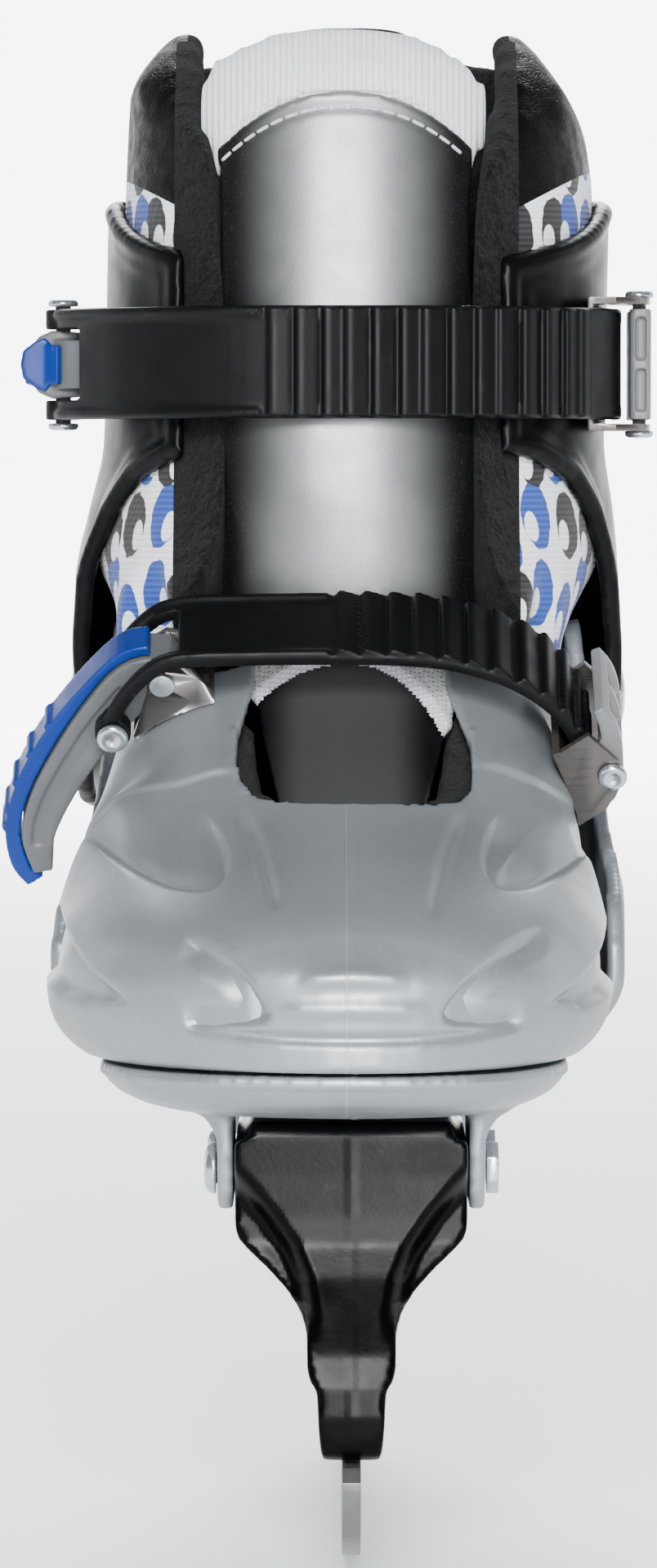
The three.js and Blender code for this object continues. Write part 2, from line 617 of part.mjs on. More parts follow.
/** Points at equal steps along a path, each with the outward direction there. */
function stepsAlong(path, pitch, from, to) {
  const found = [];
  let run = 0;
  let next = from;
  for (let i = 0; i + 1 < path.length; i++) {
    const [a0, b0] = path[i];
    const [a1, b1] = path[i + 1];
    const length = Math.hypot(a1 - a0, b1 - b0);
    const dir = [(a1 - a0) / length, (b1 - b0) / length];
    while (next <= run + length && next <= to) {
      const t = next - run;
      found.push({ at: [a0 + dir[0] * t, b0 + dir[1] * t], dir, out: [-dir[1], dir[0]] });
      next += pitch;
    }
    run += length;
  }
  return found;
}

const STRAP_HALF_THICK = 1.3;
const STRAP_HALF = 11.3;
const FORK_FROM = 7.3;
const EAR = [5.4, 6.9];
const LEVER_HALF = 5;
const PIN_R = 1.6;
const THUMB_HALF = 11.4;

const layouts = {
  upper: {
    levered: cuffBody,
    seat: legBody(-0.4, 130, 300),
    q: [-50.8, -9],
    p: [-58.8, -15],
    lever: [[-50, -6.8, 1.6], [-51.8, -9, 3.2], [-56.5, -12.5, 4.4], [-59.6, -20, 4], [-60.6, -34, 3.2], [-60.2, -50, 2.6], [-58, -62, 1.6]],
    inlay: [[-58.4, -8.6], [-62.6, -13.5], [-64.2, -22], [-64.4, -34], [-63.4, -49]],
    strap: [
      [-58.8, -17], [-58.6, -10], [-56, -4], [-51, 4], [-44, 12.5], [-34, 20.5], [-20, 26.3], [0, 28.4], [20, 26.3],
      [34, 20.5], [44, 12], [50, 4], [53.2, -3], [54.4, -9], [54.4, -16],
    ],
    slotTo: -55,
    teeth: [68, 138],
    bracket: [[-47.2, -3.6], [-49.2, -4.6], [-53.4, -6.6], [-54.2, -9.6], [-52.6, -12.8], [-50.4, -17.5], [-49.2, -17.5], [-48.2, -9]],
    base: [[48.4, 2], [49.4, 2], [51.2, -3.5], [52.4, -9], [52.4, -16.5], [51.5, -16.5], [51.2, -9], [50, -3.5]],
    cheek: [[49, 2], [54, 3.5], [60, -1.5], [61.4, -6], [61.2, -12], [57.5, -16.5], [51.6, -16.5], [51.2, -9], [50, -3.5]],
    thumbPin: [59.2, -7],
    thumb: [[58.4, -5.6, 1.4], [59.2, -7, 2.2], [60, -13, 1.9], [59.6, -24, 1.5], [58.4, -32, 0.9]],
    nose: [[57.3, -12.5], [57.4, -14.5], [59.4, -16], [59.4, -9]],
  },
  instep: {
    levered: toe,
    seat: bootBody(toeStations, -0.4, SHELL_BOTTOM),
    q: [-37.2, -9.2],
    p: [-47, -18.9],
    lever: [
      [-34.6, -7.4, 2.2], [-36.8, -8.6, 3.8], [-42.4, -11.4, 5.2], [-48.9, -19.4, 4.9], [-55, -29, 4.4],
      [-60, -39, 4], [-62.6, -48, 3.3], [-61.8, -56.5, 2],
    ],
    inlay: [
      [-39.5, -4.6], [-45, -6.4], [-52.5, -14.8], [-59.5, -25], [-64.8, -36], [-67.2, -46], [-66.4, -54.5],
      [-63.4, -59.4],
    ],
    strap: [
      [-47.4, -21], [-46, -14], [-41, -6.5], [-34.5, -2.4], [-20, -1.6], [0, -1.4], [16, -2.2], [28, -5.4], [36, -9.8],
      [41.6, -15.2], [44.8, -21.5], [46, -28], [46.2, -36],
    ],
    slotTo: -34,
    teeth: [58, 122],
    bracket: [[-30, -8.5], [-31.5, -6], [-36.5, -5.2], [-40, -7.6], [-40, -12], [-43, -22], [-41, -25], [-33, -20], [-26.5, -16.5], [-27.4, -11]],
    base: [[40, -22], [41.4, -21.4], [44.2, -29], [44.4, -40], [43, -40], [42.8, -29.4]],
    cheek: [[41, -22], [47, -17.5], [53.2, -24], [54, -29], [51, -35], [44.4, -40], [43, -40], [43, -30]],
    thumbPin: [52, -27],
    thumb: [[53.6, -31.5, 1.2], [52, -27, 2.2], [51.9, -22, 2.1], [50.9, -17, 1.7], [48.9, -13, 1]],
    nose: [[49.1, -21.4], [50.2, -17.5], [52.5, -17.5], [52.5, -25]],
  },
};

for (const [place, plan] of Object.entries(layouts)) {
  const { flat, pin } = planeTools(PLANES[place]);
  const base = plan.levered;
  const lever = new THREE.Group();
  const strap = new THREE.Group();
  const thumb = new THREE.Group();
  base.add(lever, thumb);
  lever.add(strap);

  const ears = join(flat(plan.bracket, -EAR[1], -EAR[0]), flat(plan.bracket, EAR[0], EAR[1]));
  const foot = cut(flat(plan.bracket.slice(-5), -EAR[1], EAR[1]), pin(plan.q, -EAR[0] - 0.05, EAR[0] + 0.05, 5));
  const footed = cut(join(ears, foot), flat(ribbon(plan.lever, 0.5), -EAR[0] - 0.01, EAR[0] + 0.01));
  add(base, `${place}_lever_bracket`, cut(footed, pin(plan.q, -20, 20, PIN_R + 0.2), plan.seat), "darkSteel");
  add(base, `${place}_lever_pin`, join(pin(plan.q, -7.6, 7.6, PIN_R), pin(plan.q, -8.6, -7.4, 2.6)), "steel");

  const leverMade = cut(
    flat(ribbon(plan.lever), -LEVER_HALF, LEVER_HALF),
    pin(plan.q, -20, 20, PIN_R + 0.3),
    pin(plan.p, -20, 20, PIN_R + 0.3),
  );
  add(lever, `${place}_lever`, leverMade, "grey");
  const grown = flat(ribbon(plan.lever, 0.35), -9, 9);
  const strip = flat(ribbon(plan.inlay.map(([a, b]) => [a, b, 2])), -LEVER_HALF + 1, LEVER_HALF - 1);
  add(lever, `${place}_lever_inlay`, cut(strip, grown), "blue");

  const path = plan.strap.map(([a, b]) => [a, b, STRAP_HALF_THICK]);
  const band = flat(ribbon(path), -STRAP_HALF, STRAP_HALF);
  const slot = flat([[-90, -60], [plan.slotTo, -60], [plan.slotTo, 40], [-90, 40]], -FORK_FROM, FORK_FROM);
  const teeth = stepsAlong(plan.strap, TOOTH_PITCH, plan.teeth[0], plan.teeth[1]).map(({ at, dir, out }) => {
    const p = (along_, up) => [at[0] + dir[0] * along_ + out[0] * up, at[1] + dir[1] * along_ + out[1] * up];
    const top = STRAP_HALF_THICK + TOOTH_HEIGHT;
    return flat([p(-2, 0.4), p(2, 0.4), p(1.4, top), p(-0.6, top)], -8.6, 8.6);
  });
  const eyes = [-1, 1].map((way) => pin(plan.p, way > 0 ? FORK_FROM : -STRAP_HALF, way > 0 ? STRAP_HALF : -FORK_FROM, 3.6, 16));
  const strapMade = cut(join(cut(band, slot), ...teeth, ...eyes), pin(plan.p, -20, 20, PIN_R + 0.2));
  add(strap, `${place}_strap`, strapMade, "black");
  const forkPin = join(
    pin(plan.p, -12.3, 12.3, PIN_R),
    pin(plan.p, -13.4, -12, 3),
    pin(plan.p, 12, 13.4, 3),
  );
  add(strap, `${place}_strap_pin`, forkPin, "steel");

  const cheeks = join(flat(plan.cheek, -13.6, -12.2), flat(plan.cheek, 12.2, 13.6), flat(plan.base, -13.6, 13.6));
  add(base, `${place}_ratchet_bracket`, cut(cheeks, pin(plan.thumbPin, -20, 20, 1.6), plan.seat), "darkSteel");
  add(base, `${place}_ratchet_pin`, join(pin(plan.thumbPin, -14.2, 14.2, 1.4), pin(plan.thumbPin, 14, 15, 2.6)), "steel");
  const thumbMade = cut(
    join(flat(ribbon(plan.thumb), -THUMB_HALF, THUMB_HALF), flat(plan.nose, -7.5, 7.5)),
    pin(plan.thumbPin, -20, 20, 1.7),
  );
  add(thumb, `${place}_ratchet_lever`, thumbMade, "lightGrey");
}

export default skate;
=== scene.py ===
"""Looks for the adjustable ice skate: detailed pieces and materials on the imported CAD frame.

Shapes are worked out in millimetres in the row frame (+Z up, toe along -Y, +X to the inner side of the foot)
and are written to Blender in metres.
"""

import math

import bmesh
import bpy
import numpy as np
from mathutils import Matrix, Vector


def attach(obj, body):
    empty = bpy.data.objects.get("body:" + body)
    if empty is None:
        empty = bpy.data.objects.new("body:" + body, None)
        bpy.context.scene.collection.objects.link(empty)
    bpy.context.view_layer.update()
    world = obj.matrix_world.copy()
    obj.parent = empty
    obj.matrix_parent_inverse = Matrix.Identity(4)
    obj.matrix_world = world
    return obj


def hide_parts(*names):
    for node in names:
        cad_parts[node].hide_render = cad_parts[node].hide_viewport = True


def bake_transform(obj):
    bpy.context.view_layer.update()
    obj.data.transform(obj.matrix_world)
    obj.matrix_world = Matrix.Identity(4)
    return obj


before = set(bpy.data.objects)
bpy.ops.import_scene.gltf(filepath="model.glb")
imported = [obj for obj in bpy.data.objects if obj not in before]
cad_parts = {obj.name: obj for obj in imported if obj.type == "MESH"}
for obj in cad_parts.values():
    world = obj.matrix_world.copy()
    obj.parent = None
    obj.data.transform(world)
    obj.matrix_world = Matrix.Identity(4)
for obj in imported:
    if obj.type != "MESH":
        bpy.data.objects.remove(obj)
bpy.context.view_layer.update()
MM = 0.001

# ---------------------------------------------------------------- shape of the boot, as in the CAD part

WALL = 3.0
SHELL_BOTTOM = 100.8
BULGE_Z = 116.0
PIVOT_Y = 45.0
PIVOT_Z = 166.0
STRAP_Z = 234.6
INSTEP_SLOPE = math.radians(32)

half_left = [
    (-138, 5), (-136.5, 14), (-133, 24), (-127, 35.5), (-118, 45.5), (-105, 53), (-88, 58), (-70, 58.6),
    (-50, 56.2), (-30, 52.6), (-12, 49), (5, 45.8), (25, 43.5), (45, 42.8), (62, 41), (78, 36.5),
    (90, 29.5), (98, 21), (103, 11), (105, 3),
]
half_right = [
    (-138, 5), (-136.5, 13.5), (-133, 22), (-127, 31.5), (-118, 39), (-105, 45.8), (-88, 49.8),
    (-70, 50.6), (-50, 49.2), (-30, 46.8), (-12, 44.2), (5, 43), (25, 42.3), (45, 42), (62, 40.4),
    (78, 36), (90, 29), (98, 20.5), (103, 11), (105, 3),
]
crown = [
    (-138, 117.5), (-136.5, 121), (-133, 125.2), (-127, 129.6), (-118, 133.8), (-105, 138.5),
    (-90, 142.8), (-75, 148.5), (-60, 158.5), (-45, 169), (-30, 180), (-12, 196), (5, 212), (25, 230),
]
roundness = [(-138, 2.1), (-70, 2.15), (-40, 2.55), (-12, 3), (10, 4.5), (30, 7)]
widen_right = [(-44, 1.5), (-20, 5), (-5, 5), (10, 2), (25, 1), (60, 0.5), (105, 0)]
widen_left = [(-44, 0), (5, 0.5), (60, 0.5), (105, 0)]

leg_left = [
    (120, 50), (150, 56), (166, 56), (178, 57), (190, 57), (205, 54), (219, 51), (245, 50.5), (268, 50),
    (290, 49), (312, 46),
]
leg_right = [
    (120, 50), (150, 55.5), (166, 55.5), (178, 56), (190, 56), (205, 54.8), (219, 53), (245, 53.5),
    (268, 54), (290, 51), (312, 46),
]
leg_front = [
    (120, -90), (150, -68), (170, -50), (190, -36.5), (205, -29), (219, -25.5), (245, -22), (268, -19),
    (312, -13),
]
leg_back = [
    (120, 112), (150, 115), (178, 113.5), (190, 109), (205, 104), (219, 101), (245, 98), (268, 96),
    (312, 93),
]
LEG_POWER = 2.6


def along(table, x):
    """Smooth interpolation through a table of (x, value) rows, without overshoot."""
    xs = np.array([row[0] for row in table], float)
    ys = np.array([row[1] for row in table], float)
    steps = np.diff(xs)
    rises = np.diff(ys) / steps
    slopes = np.zeros_like(ys)
    same = rises[:-1] * rises[1:] > 0
    mean = 2 * rises[:-1] * rises[1:] / np.where(same, rises[:-1] + rises[1:], 1)
    slopes[1:-1] = np.where(same, mean, 0)
    slopes[0] = rises[0]
    slopes[-1] = rises[-1]
    x = np.clip(np.asarray(x, float), xs[0], xs[-1])
    i = np.clip(np.searchsorted(xs, x, side="right") - 1, 0, len(steps) - 1)
    h = steps[i]
    t = (x - xs[i]) / h
    return ((2 * t**3 - 3 * t**2 + 1) * ys[i] + (t**3 - 2 * t**2 + t) * h * slopes[i]
            + (3 * t**2 - 2 * t**3) * ys[i + 1] + (t**3 - t**2) * h * slopes[i + 1])


def smoothstep(low, high, x):
    t = np.clip((np.asarray(x, float) - low) / (high - low), 0, 1)
    return t * t * (3 - 2 * t)


def eased(table, y):
    """The value of a table at y, averaged a little to each side."""
    return float(np.mean(along(table, y + np.array([-5, -3.3, -1.7, 0, 1.7, 3.3, 5]))))


def boot_ring(y, inset, floor_z, widen=(0, 0), count=40):
    """Closed (x, y, z) ring of the boot at y, moved in by inset, with its floor at floor_z."""
    top = eased(crown, y) - inset
    power = eased(roundness, y)
    sides = []
    for half, extra, sign in ((half_right, widen[1], 1), (half_left, widen[0], -1)):
        width = max(float(along(half, y)) - inset + extra, 1)
        share = np.linspace(0, 1, count // 3, endpoint=False)
        lower_x = width * (1 - 0.13 * (1 - share)**3.2)
        lower_z = floor_z + share * (BULGE_Z - floor_z)
        angle = np.linspace(0, math.pi / 2, count)
        upper_x = width * np.cos(angle).clip(0)**(2 / power)
        upper_z = BULGE_Z + (top - BULGE_Z) * np.sin(angle)**(2 / power)
        x = sign * np.concatenate([lower_x, upper_x])
        z = np.concatenate([lower_z, upper_z])
        sides.append(np.stack([x, np.full_like(x, y), z], 1))
    return np.concatenate([sides[0], sides[1][:-1][::-1]])


def leg_ring(z, inset, count=128):
    """Closed ring of the ankle at z, moved in by inset."""
    front = float(along(leg_front, z)) + inset
    back = float(along(leg_back, z)) - inset
    c, s = circle(count)
    half = np.where(c > 0, float(along(leg_right, z)), float(along(leg_left, z))) - inset
    x = half * np.sign(c) * np.abs(c)**(2 / LEG_POWER)
    y = (front + back) / 2 + (back - front) / 2 * np.sign(s) * np.abs(s)**(2 / LEG_POWER)
    return np.stack([x, y, np.full_like(x, z)], 1)


# ---------------------------------------------------------------- mesh tools

def make(name, points, faces):
    """A mesh object from points in millimetres."""
    mesh = bpy.data.meshes.new(name)
    mesh.from_pydata((np.asarray(points) * MM).tolist(), [], faces)
    mesh.validate()
    obj = bpy.data.objects.new(name, mesh)
    bpy.context.scene.collection.objects.link(obj)
    mesh.shade_smooth()
    return obj


def solid(name, points, faces):
    """A closed mesh object whose faces look outwards."""
    obj = make(name, points, faces)
    points = points_of(obj)
    obj.data.calc_loop_triangles()
    corners = np.empty(len(obj.data.loop_triangles) * 3, int)
    obj.data.loop_triangles.foreach_get("vertices", corners)
    a, b, c = (points[corners.reshape(-1, 3)[:, i]] for i in range(3))
    if np.einsum("ij,ij->i", a, np.cross(b, c)).sum() < 0:
        obj.data.flip_normals()
    return obj


def loft(name, rings):
    """A solid through rings of equal point count."""
    rings = [np.asarray(ring) for ring in rings]
    count = len(rings[0])
    last = len(rings) - 1
    faces = []
    for r in range(last):
        for i in range(count):
            a = r * count + i
            b = r * count + (i + 1) % count
            faces.append((a, b, b + count, a + count))
    for cap, (end, flip) in enumerate(((0, True), (last, False))):
        middle = len(rings) * count + cap
        for i in range(count):
            a = end * count + i
            b = end * count + (i + 1) % count
            faces.append((b, a, middle) if flip else (a, b, middle))
    return solid(name, np.concatenate([*rings, [rings[0].mean(0), rings[last].mean(0)]]), faces)


def prism(name, outline, low, high, frame_of):
    """A solid with an outline of (a, b) points from w = low to w = high.

    frame_of turns (a, b, w) rows into (x, y, z) rows.
    """
    outline = np.asarray(outline, float)
    count = len(outline)
    rows = np.concatenate([np.column_stack([outline, np.full(count, w)]) for w in (low, high)])
    faces = [(i, (i + 1) % count, (i + 1) % count + count, i + count) for i in range(count)]
    faces += [tuple(range(count))[::-1], tuple(range(count, 2 * count))]
    return solid(name, frame_of(rows), faces)


def from_side(rows):
    return rows[:, [2, 0, 1]]


def from_front(rows):
    return rows[:, [0, 2, 1]]


def from_top(rows):
    return rows


def circle(count):
    """The cosines and sines of evenly spread angles."""
    angle = np.linspace(0, 2 * math.pi, count, endpoint=False)
    return np.cos(angle), np.sin(angle)


def unit(v):
    return v / np.linalg.norm(v, axis=-1, keepdims=True)


def settle(obj):
    """Applies the object's modifiers."""
    graph = bpy.context.evaluated_depsgraph_get()
    graph.update()
    mesh = bpy.data.meshes.new_from_object(obj.evaluated_get(graph))
    obj.modifiers.clear()
    obj.data = mesh
    mesh.shade_smooth()
    return obj


def combine(obj, others, operation="DIFFERENCE"):
    """Boolean of obj with each other object, which is then removed."""
    for other in others:
        step = obj.modifiers.new("boolean", "BOOLEAN")
        step.operation = operation
        step.solver = "MANIFOLD"
        step.object = other
        settle(obj)
        bpy.data.objects.remove(other)
    return obj


def trim(obj, outline, low=-80, high=80, frame_of=from_side):
    """Keeps what lies within an outline."""
    return combine(obj, [prism("trim", outline, low, high, frame_of)], "INTERSECT")


def smooth(obj, rounds, factor=0.5):
    """Evens out the surface of an object."""
    soften = obj.modifiers.new("soften", "SMOOTH")
    soften.factor = factor
    soften.iterations = rounds
    return settle(obj)


def remould(obj, voxel, rounds=3, factor=0.5):
    """Even mesh with softened edges, as a moulded or sewn part has."""
    remesh = obj.modifiers.new("remesh", "REMESH")
    remesh.mode = "VOXEL"
    remesh.voxel_size = voxel * MM
    return smooth(obj, rounds, factor)


def rows_of(items, key):
    values = np.empty(len(items) * 3)
    items.foreach_get(key, values)
    return values.reshape(-1, 3)


def points_of(obj):
    return rows_of(obj.data.vertices, "co") / MM


def normals_of(obj):
    return rows_of(obj.data.vertex_normals, "vector")


def facing(points, normals, centre):
    """How far each normal looks away from the centre, from -1 to 1, in plan if the centre is (x, y)."""
    count = len(centre)
    return np.einsum("ij,ij->i", normals[:, :count], unit(points[:, :count] - centre))


def move_points(obj, points):
    obj.data.vertices.foreach_set("co", (points * MM).ravel())
    obj.data.update()


def shift(obj, amount):
    """Moves each point along its normal by its amount in millimetres."""
    move_points(obj, points_of(obj) + normals_of(obj) * np.asarray(amount)[:, None])
    return obj


def hill(value, width):
    """1 where the value is zero, and fading on both sides."""
    return np.exp(-(value / width)**2)


def run_of(line):
    """The length of a line up to each of its points."""
    steps = np.linalg.norm(np.diff(line, axis=0), axis=1)
    return np.concatenate([[0], np.cumsum(steps)])


def spaced(where, line):
    """The points of a line at the given lengths along it."""
    run = run_of(line)
    return np.stack([np.interp(where, run, column) for column in line.T], 1)


def line_distance(points, line):
    """Distance of each (a, b) point to an open line, and the share of the line before the nearest point."""
    line = np.asarray(line, float)
    lengths = np.linalg.norm(np.diff(line, axis=0), axis=1)
    best = np.full(len(points), 1e9)
    place = np.zeros(len(points))
    run = 0.0
    for start, end, length in zip(line[:-1], line[1:], lengths):
        t = np.clip(((points - start) @ (end - start)) / length**2, 0, 1)
        distance = np.linalg.norm(points - start - t[:, None] * (end - start), axis=1)
        nearer = distance < best
        best = np.where(nearer, distance, best)
        place = np.where(nearer, (run + t * length) / lengths.sum(), place)
        run += length
    return best, place


def curve_through(line, steps=8):
    """A smooth line through the given points."""
    line = np.asarray(line, float)
    padded = np.concatenate([[2 * line[0] - line[1]], line, [2 * line[-1] - line[-2]]])
    found = []
    for p0, p1, p2, p3 in zip(padded[:-3], padded[1:-2], padded[2:-1], padded[3:]):
        for t in np.linspace(0, 1, steps, endpoint=False):
            found.append(0.5 * (2 * p1 + (p2 - p0) * t + (2 * p0 - 5 * p1 + 4 * p2 - p3) * t**2
                                + (3 * p1 - p0 - 3 * p2 + p3) * t**3))
    return np.array(found + [line[-1]])


def inside(points, outline):
    """Signed distance of (a, b) points to a closed outline, positive inside."""
    outline = np.asarray(outline, float)
    ring = np.concatenate([outline, outline[:1]])
    distance, _ = line_distance(points, ring)
    x, y = points.T
    odd = np.zeros(len(points), bool)
    for (x0, y0), (x1, y1) in zip(ring[:-1], ring[1:]):
        crosses = (y0 > y) != (y1 > y)
        slope = np.where(y1 != y0, (x1 - x0) / np.where(y1 != y0, y1 - y0, 1), 0)
        odd ^= crosses & (x < slope * (y - y0) + x0)
    return np.where(odd, distance, -distance)


def ribbon(path, grow=0.0):
    """A closed outline of varying half thickness along rows of (a, b, half)."""
    path = np.asarray(path, float)
    way = unit(np.gradient(path[:, :2], axis=0))
    side = np.stack([-way[:, 1], way[:, 0]], 1) * (path[:, 2:3] + grow)
    return np.concatenate([path[:, :2] + side, (path[:, :2] - side)[::-1]])


def plane(origin, out, pins):
    """Turns (a, b, w) rows into (x, y, z): a along +X, b along out, w along pins."""
    origin, out, pins = (np.array(v, float) for v in (origin, out, pins))

    def place(rows):
        rows = np.asarray(rows, float)
        return origin + rows[:, :1] * [1, 0, 0] + rows[:, 1:2] * out + rows[:, 2:3] * pins
    return place


UPPER = plane((0, 0, STRAP_Z), (0, -1, 0), (0, 0, 1))
INSTEP = plane((0, -45, 182.5), (0, -math.sin(INSTEP_SLOPE), math.cos(INSTEP_SLOPE)),
               (0, math.cos(INSTEP_SLOPE), math.sin(INSTEP_SLOPE)))


def spokes(axis, side, sides):
    """Unit vectors all round an axis, from side on."""
    c, s = circle(sides)
    return c[:, None] * side + s[:, None] * np.cross(axis, side)


def tube(name, line, radius, sides):
    """A round tube along a line of (x, y, z) points."""
    line = np.asarray(line, float)
    way = unit(np.gradient(line, axis=0))
    side = np.cross(way[0], [0.3, 0.5, 0.8])
    rings = []
    for point, along_here in zip(line, way):
        side = unit(side - along_here * (side @ along_here))
        rings.append(point + radius * spokes(along_here, side, sides))
    return loft(name, rings)


def turned(name, profile, centre, axis, sides=48):
    """A solid of revolution: rows of (radius, height) about an axis through centre."""
    axis = unit(np.array(axis, float))
    spoke = spokes(axis, unit(np.cross(axis, [0.31, 0.52, 0.79])), sides)
    rings = [np.asarray(centre) + axis * height + spoke * max(radius, 0.01) for radius, height in profile]
    return loft(name, rings)


# ---------------------------------------------------------------- materials

def scaled(color, factor):
    return tuple(min(factor * v, 1) for v in color)


class Look:
    """A procedural material. Every texture is laid out on the object's own coordinates, in metres."""

    def __init__(self, name, color, roughness, metallic=0.0, **more):
        self.material = bpy.data.materials.new(name)
        self.material.use_nodes = True
        self.tree = self.material.node_tree
        self.shader = self.tree.nodes["Principled BSDF"]
        self.shader.inputs["Base Color"].default_value = (*color, 1)
        self.shader.inputs["Roughness"].default_value = roughness
        self.shader.inputs["Metallic"].default_value = metallic
        for key, value in more.items():
            self.shader.inputs[key.replace("_", " ")].default_value = value
        self.place = self.node("ShaderNodeTexCoord").outputs["Object"]
        self.bumped = None

    def node(self, kind, **inputs):
        made = self.tree.nodes.new(kind)
        for key, value in inputs.items():
            self.feed(made, key.replace("_", " "), value)
        return made

    def feed(self, node, key, value):
        """Sets an input to a value, or links it where the value is a socket."""
        if isinstance(value, bpy.types.NodeSocket):
            self.tree.links.new(value, node.inputs[key])
        else:
            node.inputs[key].default_value = value

    def math(self, operation, *values):
        made = self.node("ShaderNodeMath")
        made.operation = operation
        for i, value in enumerate(values):
            self.feed(made, i, value)
        return made.outputs[0]

    def times(self, first, second):
        return self.math("MULTIPLY", first, second)

    def axes(self):
        return self.node("ShaderNodeSeparateXYZ", Vector=self.place).outputs

    def vector(self, operation, source, amount):
        made = self.node("ShaderNodeVectorMath", Vector=source)
        made.operation = operation
        made.inputs[1].default_value = amount
        return made.outputs[0]

    def stretched(self, scale):
        """The object coordinates scaled by (x, y, z)."""
        return self.vector("MULTIPLY", self.place, scale)

    def noise(self, scale, detail=2.0, source=None, rough=0.5):
        made = self.node("ShaderNodeTexNoise", Vector=source or self.place, Scale=scale, Detail=detail,
                         Roughness=rough)
        return made.outputs["Fac"]

    def cells(self, scale, feature="F1", source=None, output="Distance", random=1.0):
        """A cell pattern, flat where it has a source of its own."""
        made = self.node("ShaderNodeTexVoronoi")
        made.voronoi_dimensions = "2D" if source else "3D"
        made.feature = feature
        for key, value in (("Vector", source or self.place), ("Scale", scale), ("Randomness", random)):
            self.feed(made, key, value)
        return made.outputs[output]

    def between(self, value, low, high, to_low=0.0, to_high=1.0):
        """A smooth step of the value from low to high."""
        made = self.node("ShaderNodeMapRange", Value=value, From_Min=low, From_Max=high, To_Min=to_low,
                         To_Max=to_high)
        made.interpolation_type = "SMOOTHSTEP"
        return made.outputs[0]

    def patches(self, scale, detail, low, high, to_low=0.0, to_high=1.0):
        """Soft patches of noise, from to_low to to_high."""
        return self.between(self.noise(scale, detail), low, high, to_low, to_high)

    def ribs(self, along_axis, pitch_rate, low, high, to_low=0.0, to_high=1.0):
        """Even waves along an axis, pitch_rate radians to the metre."""
        wave = self.math("SINE", self.times(along_axis, pitch_rate))
        return self.between(wave, low, high, to_low, to_high)

    def mix(self, share, first, second):
        """Mix of two colours, each an RGB tuple or a socket."""
        made = self.node("ShaderNodeMix")
        made.data_type = "RGBA"
        self.feed(made, 0, share)
        for slot, value in ((6, first), (7, second)):
            self.feed(made, slot, value if isinstance(value, bpy.types.NodeSocket) else (*value, 1))
        return made.outputs[2]

    def cloudy(self, share, color, darker, paler):
        """A colour between a darker and a paler shade of it."""
        return self.mix(share, scaled(color, darker), scaled(color, paler))

    def color(self, socket):
        self.tree.links.new(socket, self.shader.inputs["Base Color"])

    def roughness(self, scale, detail, low, high):
        """Uneven roughness from low to high."""
        uneven = self.patches(scale, detail, 0.3, 0.7, low, high)
        self.tree.links.new(uneven, self.shader.inputs["Roughness"])

    def bump(self, height, strength, distance=0.0005):
        made = self.node("ShaderNodeBump", Height=height, Strength=strength, Distance=distance)
        if self.bumped:
            self.tree.links.new(self.bumped, made.inputs["Normal"])
        self.bumped = made.outputs[0]
        self.tree.links.new(self.bumped, self.shader.inputs["Normal"])

    def worn(self, share, low=0.56, high=0.68):
        """Up to share on convex edges, broken up by noise."""
        point = self.node("ShaderNodeNewGeometry").outputs["Pointiness"]
        broken = self.patches(400, 3, 0.35, 0.65)
        return self.times(self.times(self.between(point, low, high), broken), share)


def silver_plastic():
    """Moulded plastic with a metallic flake and a fine parting line at the middle."""
    color = (0.30, 0.327, 0.351)
    look = Look("silver moulding", color, 0.45, 0.6, Specular_IOR_Level=0.4)
    speckle = look.cells(2600)
    grain = look.noise(1500, 3)
    base = look.cloudy(look.patches(22, 3, 0.3, 0.7), color, 0.95, 1.05)
    base = look.mix(look.between(speckle, 0.0, 0.35, 0.45, 0.0), base, scaled(color, 1.22))
    base = look.mix(look.between(grain, 0.56, 0.72, 0.0, 0.5), base, scaled(color, 0.8))
    from_middle = look.math("ABSOLUTE", look.math("ADD", look.axes()[0], 0.0009))
    parting = look.between(from_middle, 0.00012, 0.0003, 1.0, 0.0)
    base = look.mix(look.times(parting, 0.35), base, (0.50, 0.53, 0.55))
    look.color(look.mix(look.worn(0.3), base, (0.42, 0.44, 0.46)))
    look.roughness(260, 4, 0.40, 0.47)
    look.bump(grain, 0.10, 0.0002)
    look.bump(parting, 0.35, 0.0003)
    look.bump(look.noise(90, 3), 0.03, 0.0006)
    return look


def black_plastic(name, color, low, high, grain, gloss):
    """Black plastic with dust, scuffs and paler edges."""
    look = Look(name, color, low, 0.0, Specular_IOR_Level=gloss)
    dust = look.between(look.noise(700, 5, rough=0.7), 0.62, 0.78, 0.0, 0.15)
    scuff = look.noise(1, 4, source=look.stretched((60, 900, 120)))
    base = look.mix(dust, color, (0.03, 0.03, 0.031))
    base = look.mix(look.between(scuff, 0.66, 0.74, 0.0, 0.12), base, (0.04, 0.04, 0.041))
    look.color(look.mix(look.worn(0.15), base, (0.10, 0.10, 0.102)))
    look.roughness(150, 5, low, high)
    look.bump(look.noise(1100, 3), grain, 0.0002)
    look.bump(look.noise(60, 2), 0.02, 0.0008)
    return look


def tinted_plastic(name, color, low=0.3, high=0.42):
    """Coloured plastic with fine scratches and paler edges."""
    look = Look(name, color, low, 0.0, Specular_IOR_Level=0.25)
    cloud = look.patches(60, 4, 0.3, 0.7)
    base = look.mix(cloud, scaled(color, 0.9), scaled(color, 1.1))
    scratch = look.noise(1, 3, source=look.stretched((1500, 1500, 90)))
    base = look.mix(look.between(scratch, 0.68, 0.76, 0.0, 0.3), base, tuple(v + 0.2 for v in color))
    look.color(look.mix(look.worn(0.4, 0.53, 0.62), base, tuple(v * 1.5 + 0.06 for v in color)))
    look.roughness(220, 4, low, high)
    look.bump(look.noise(900, 3), 0.08, 0.0002)
    return look


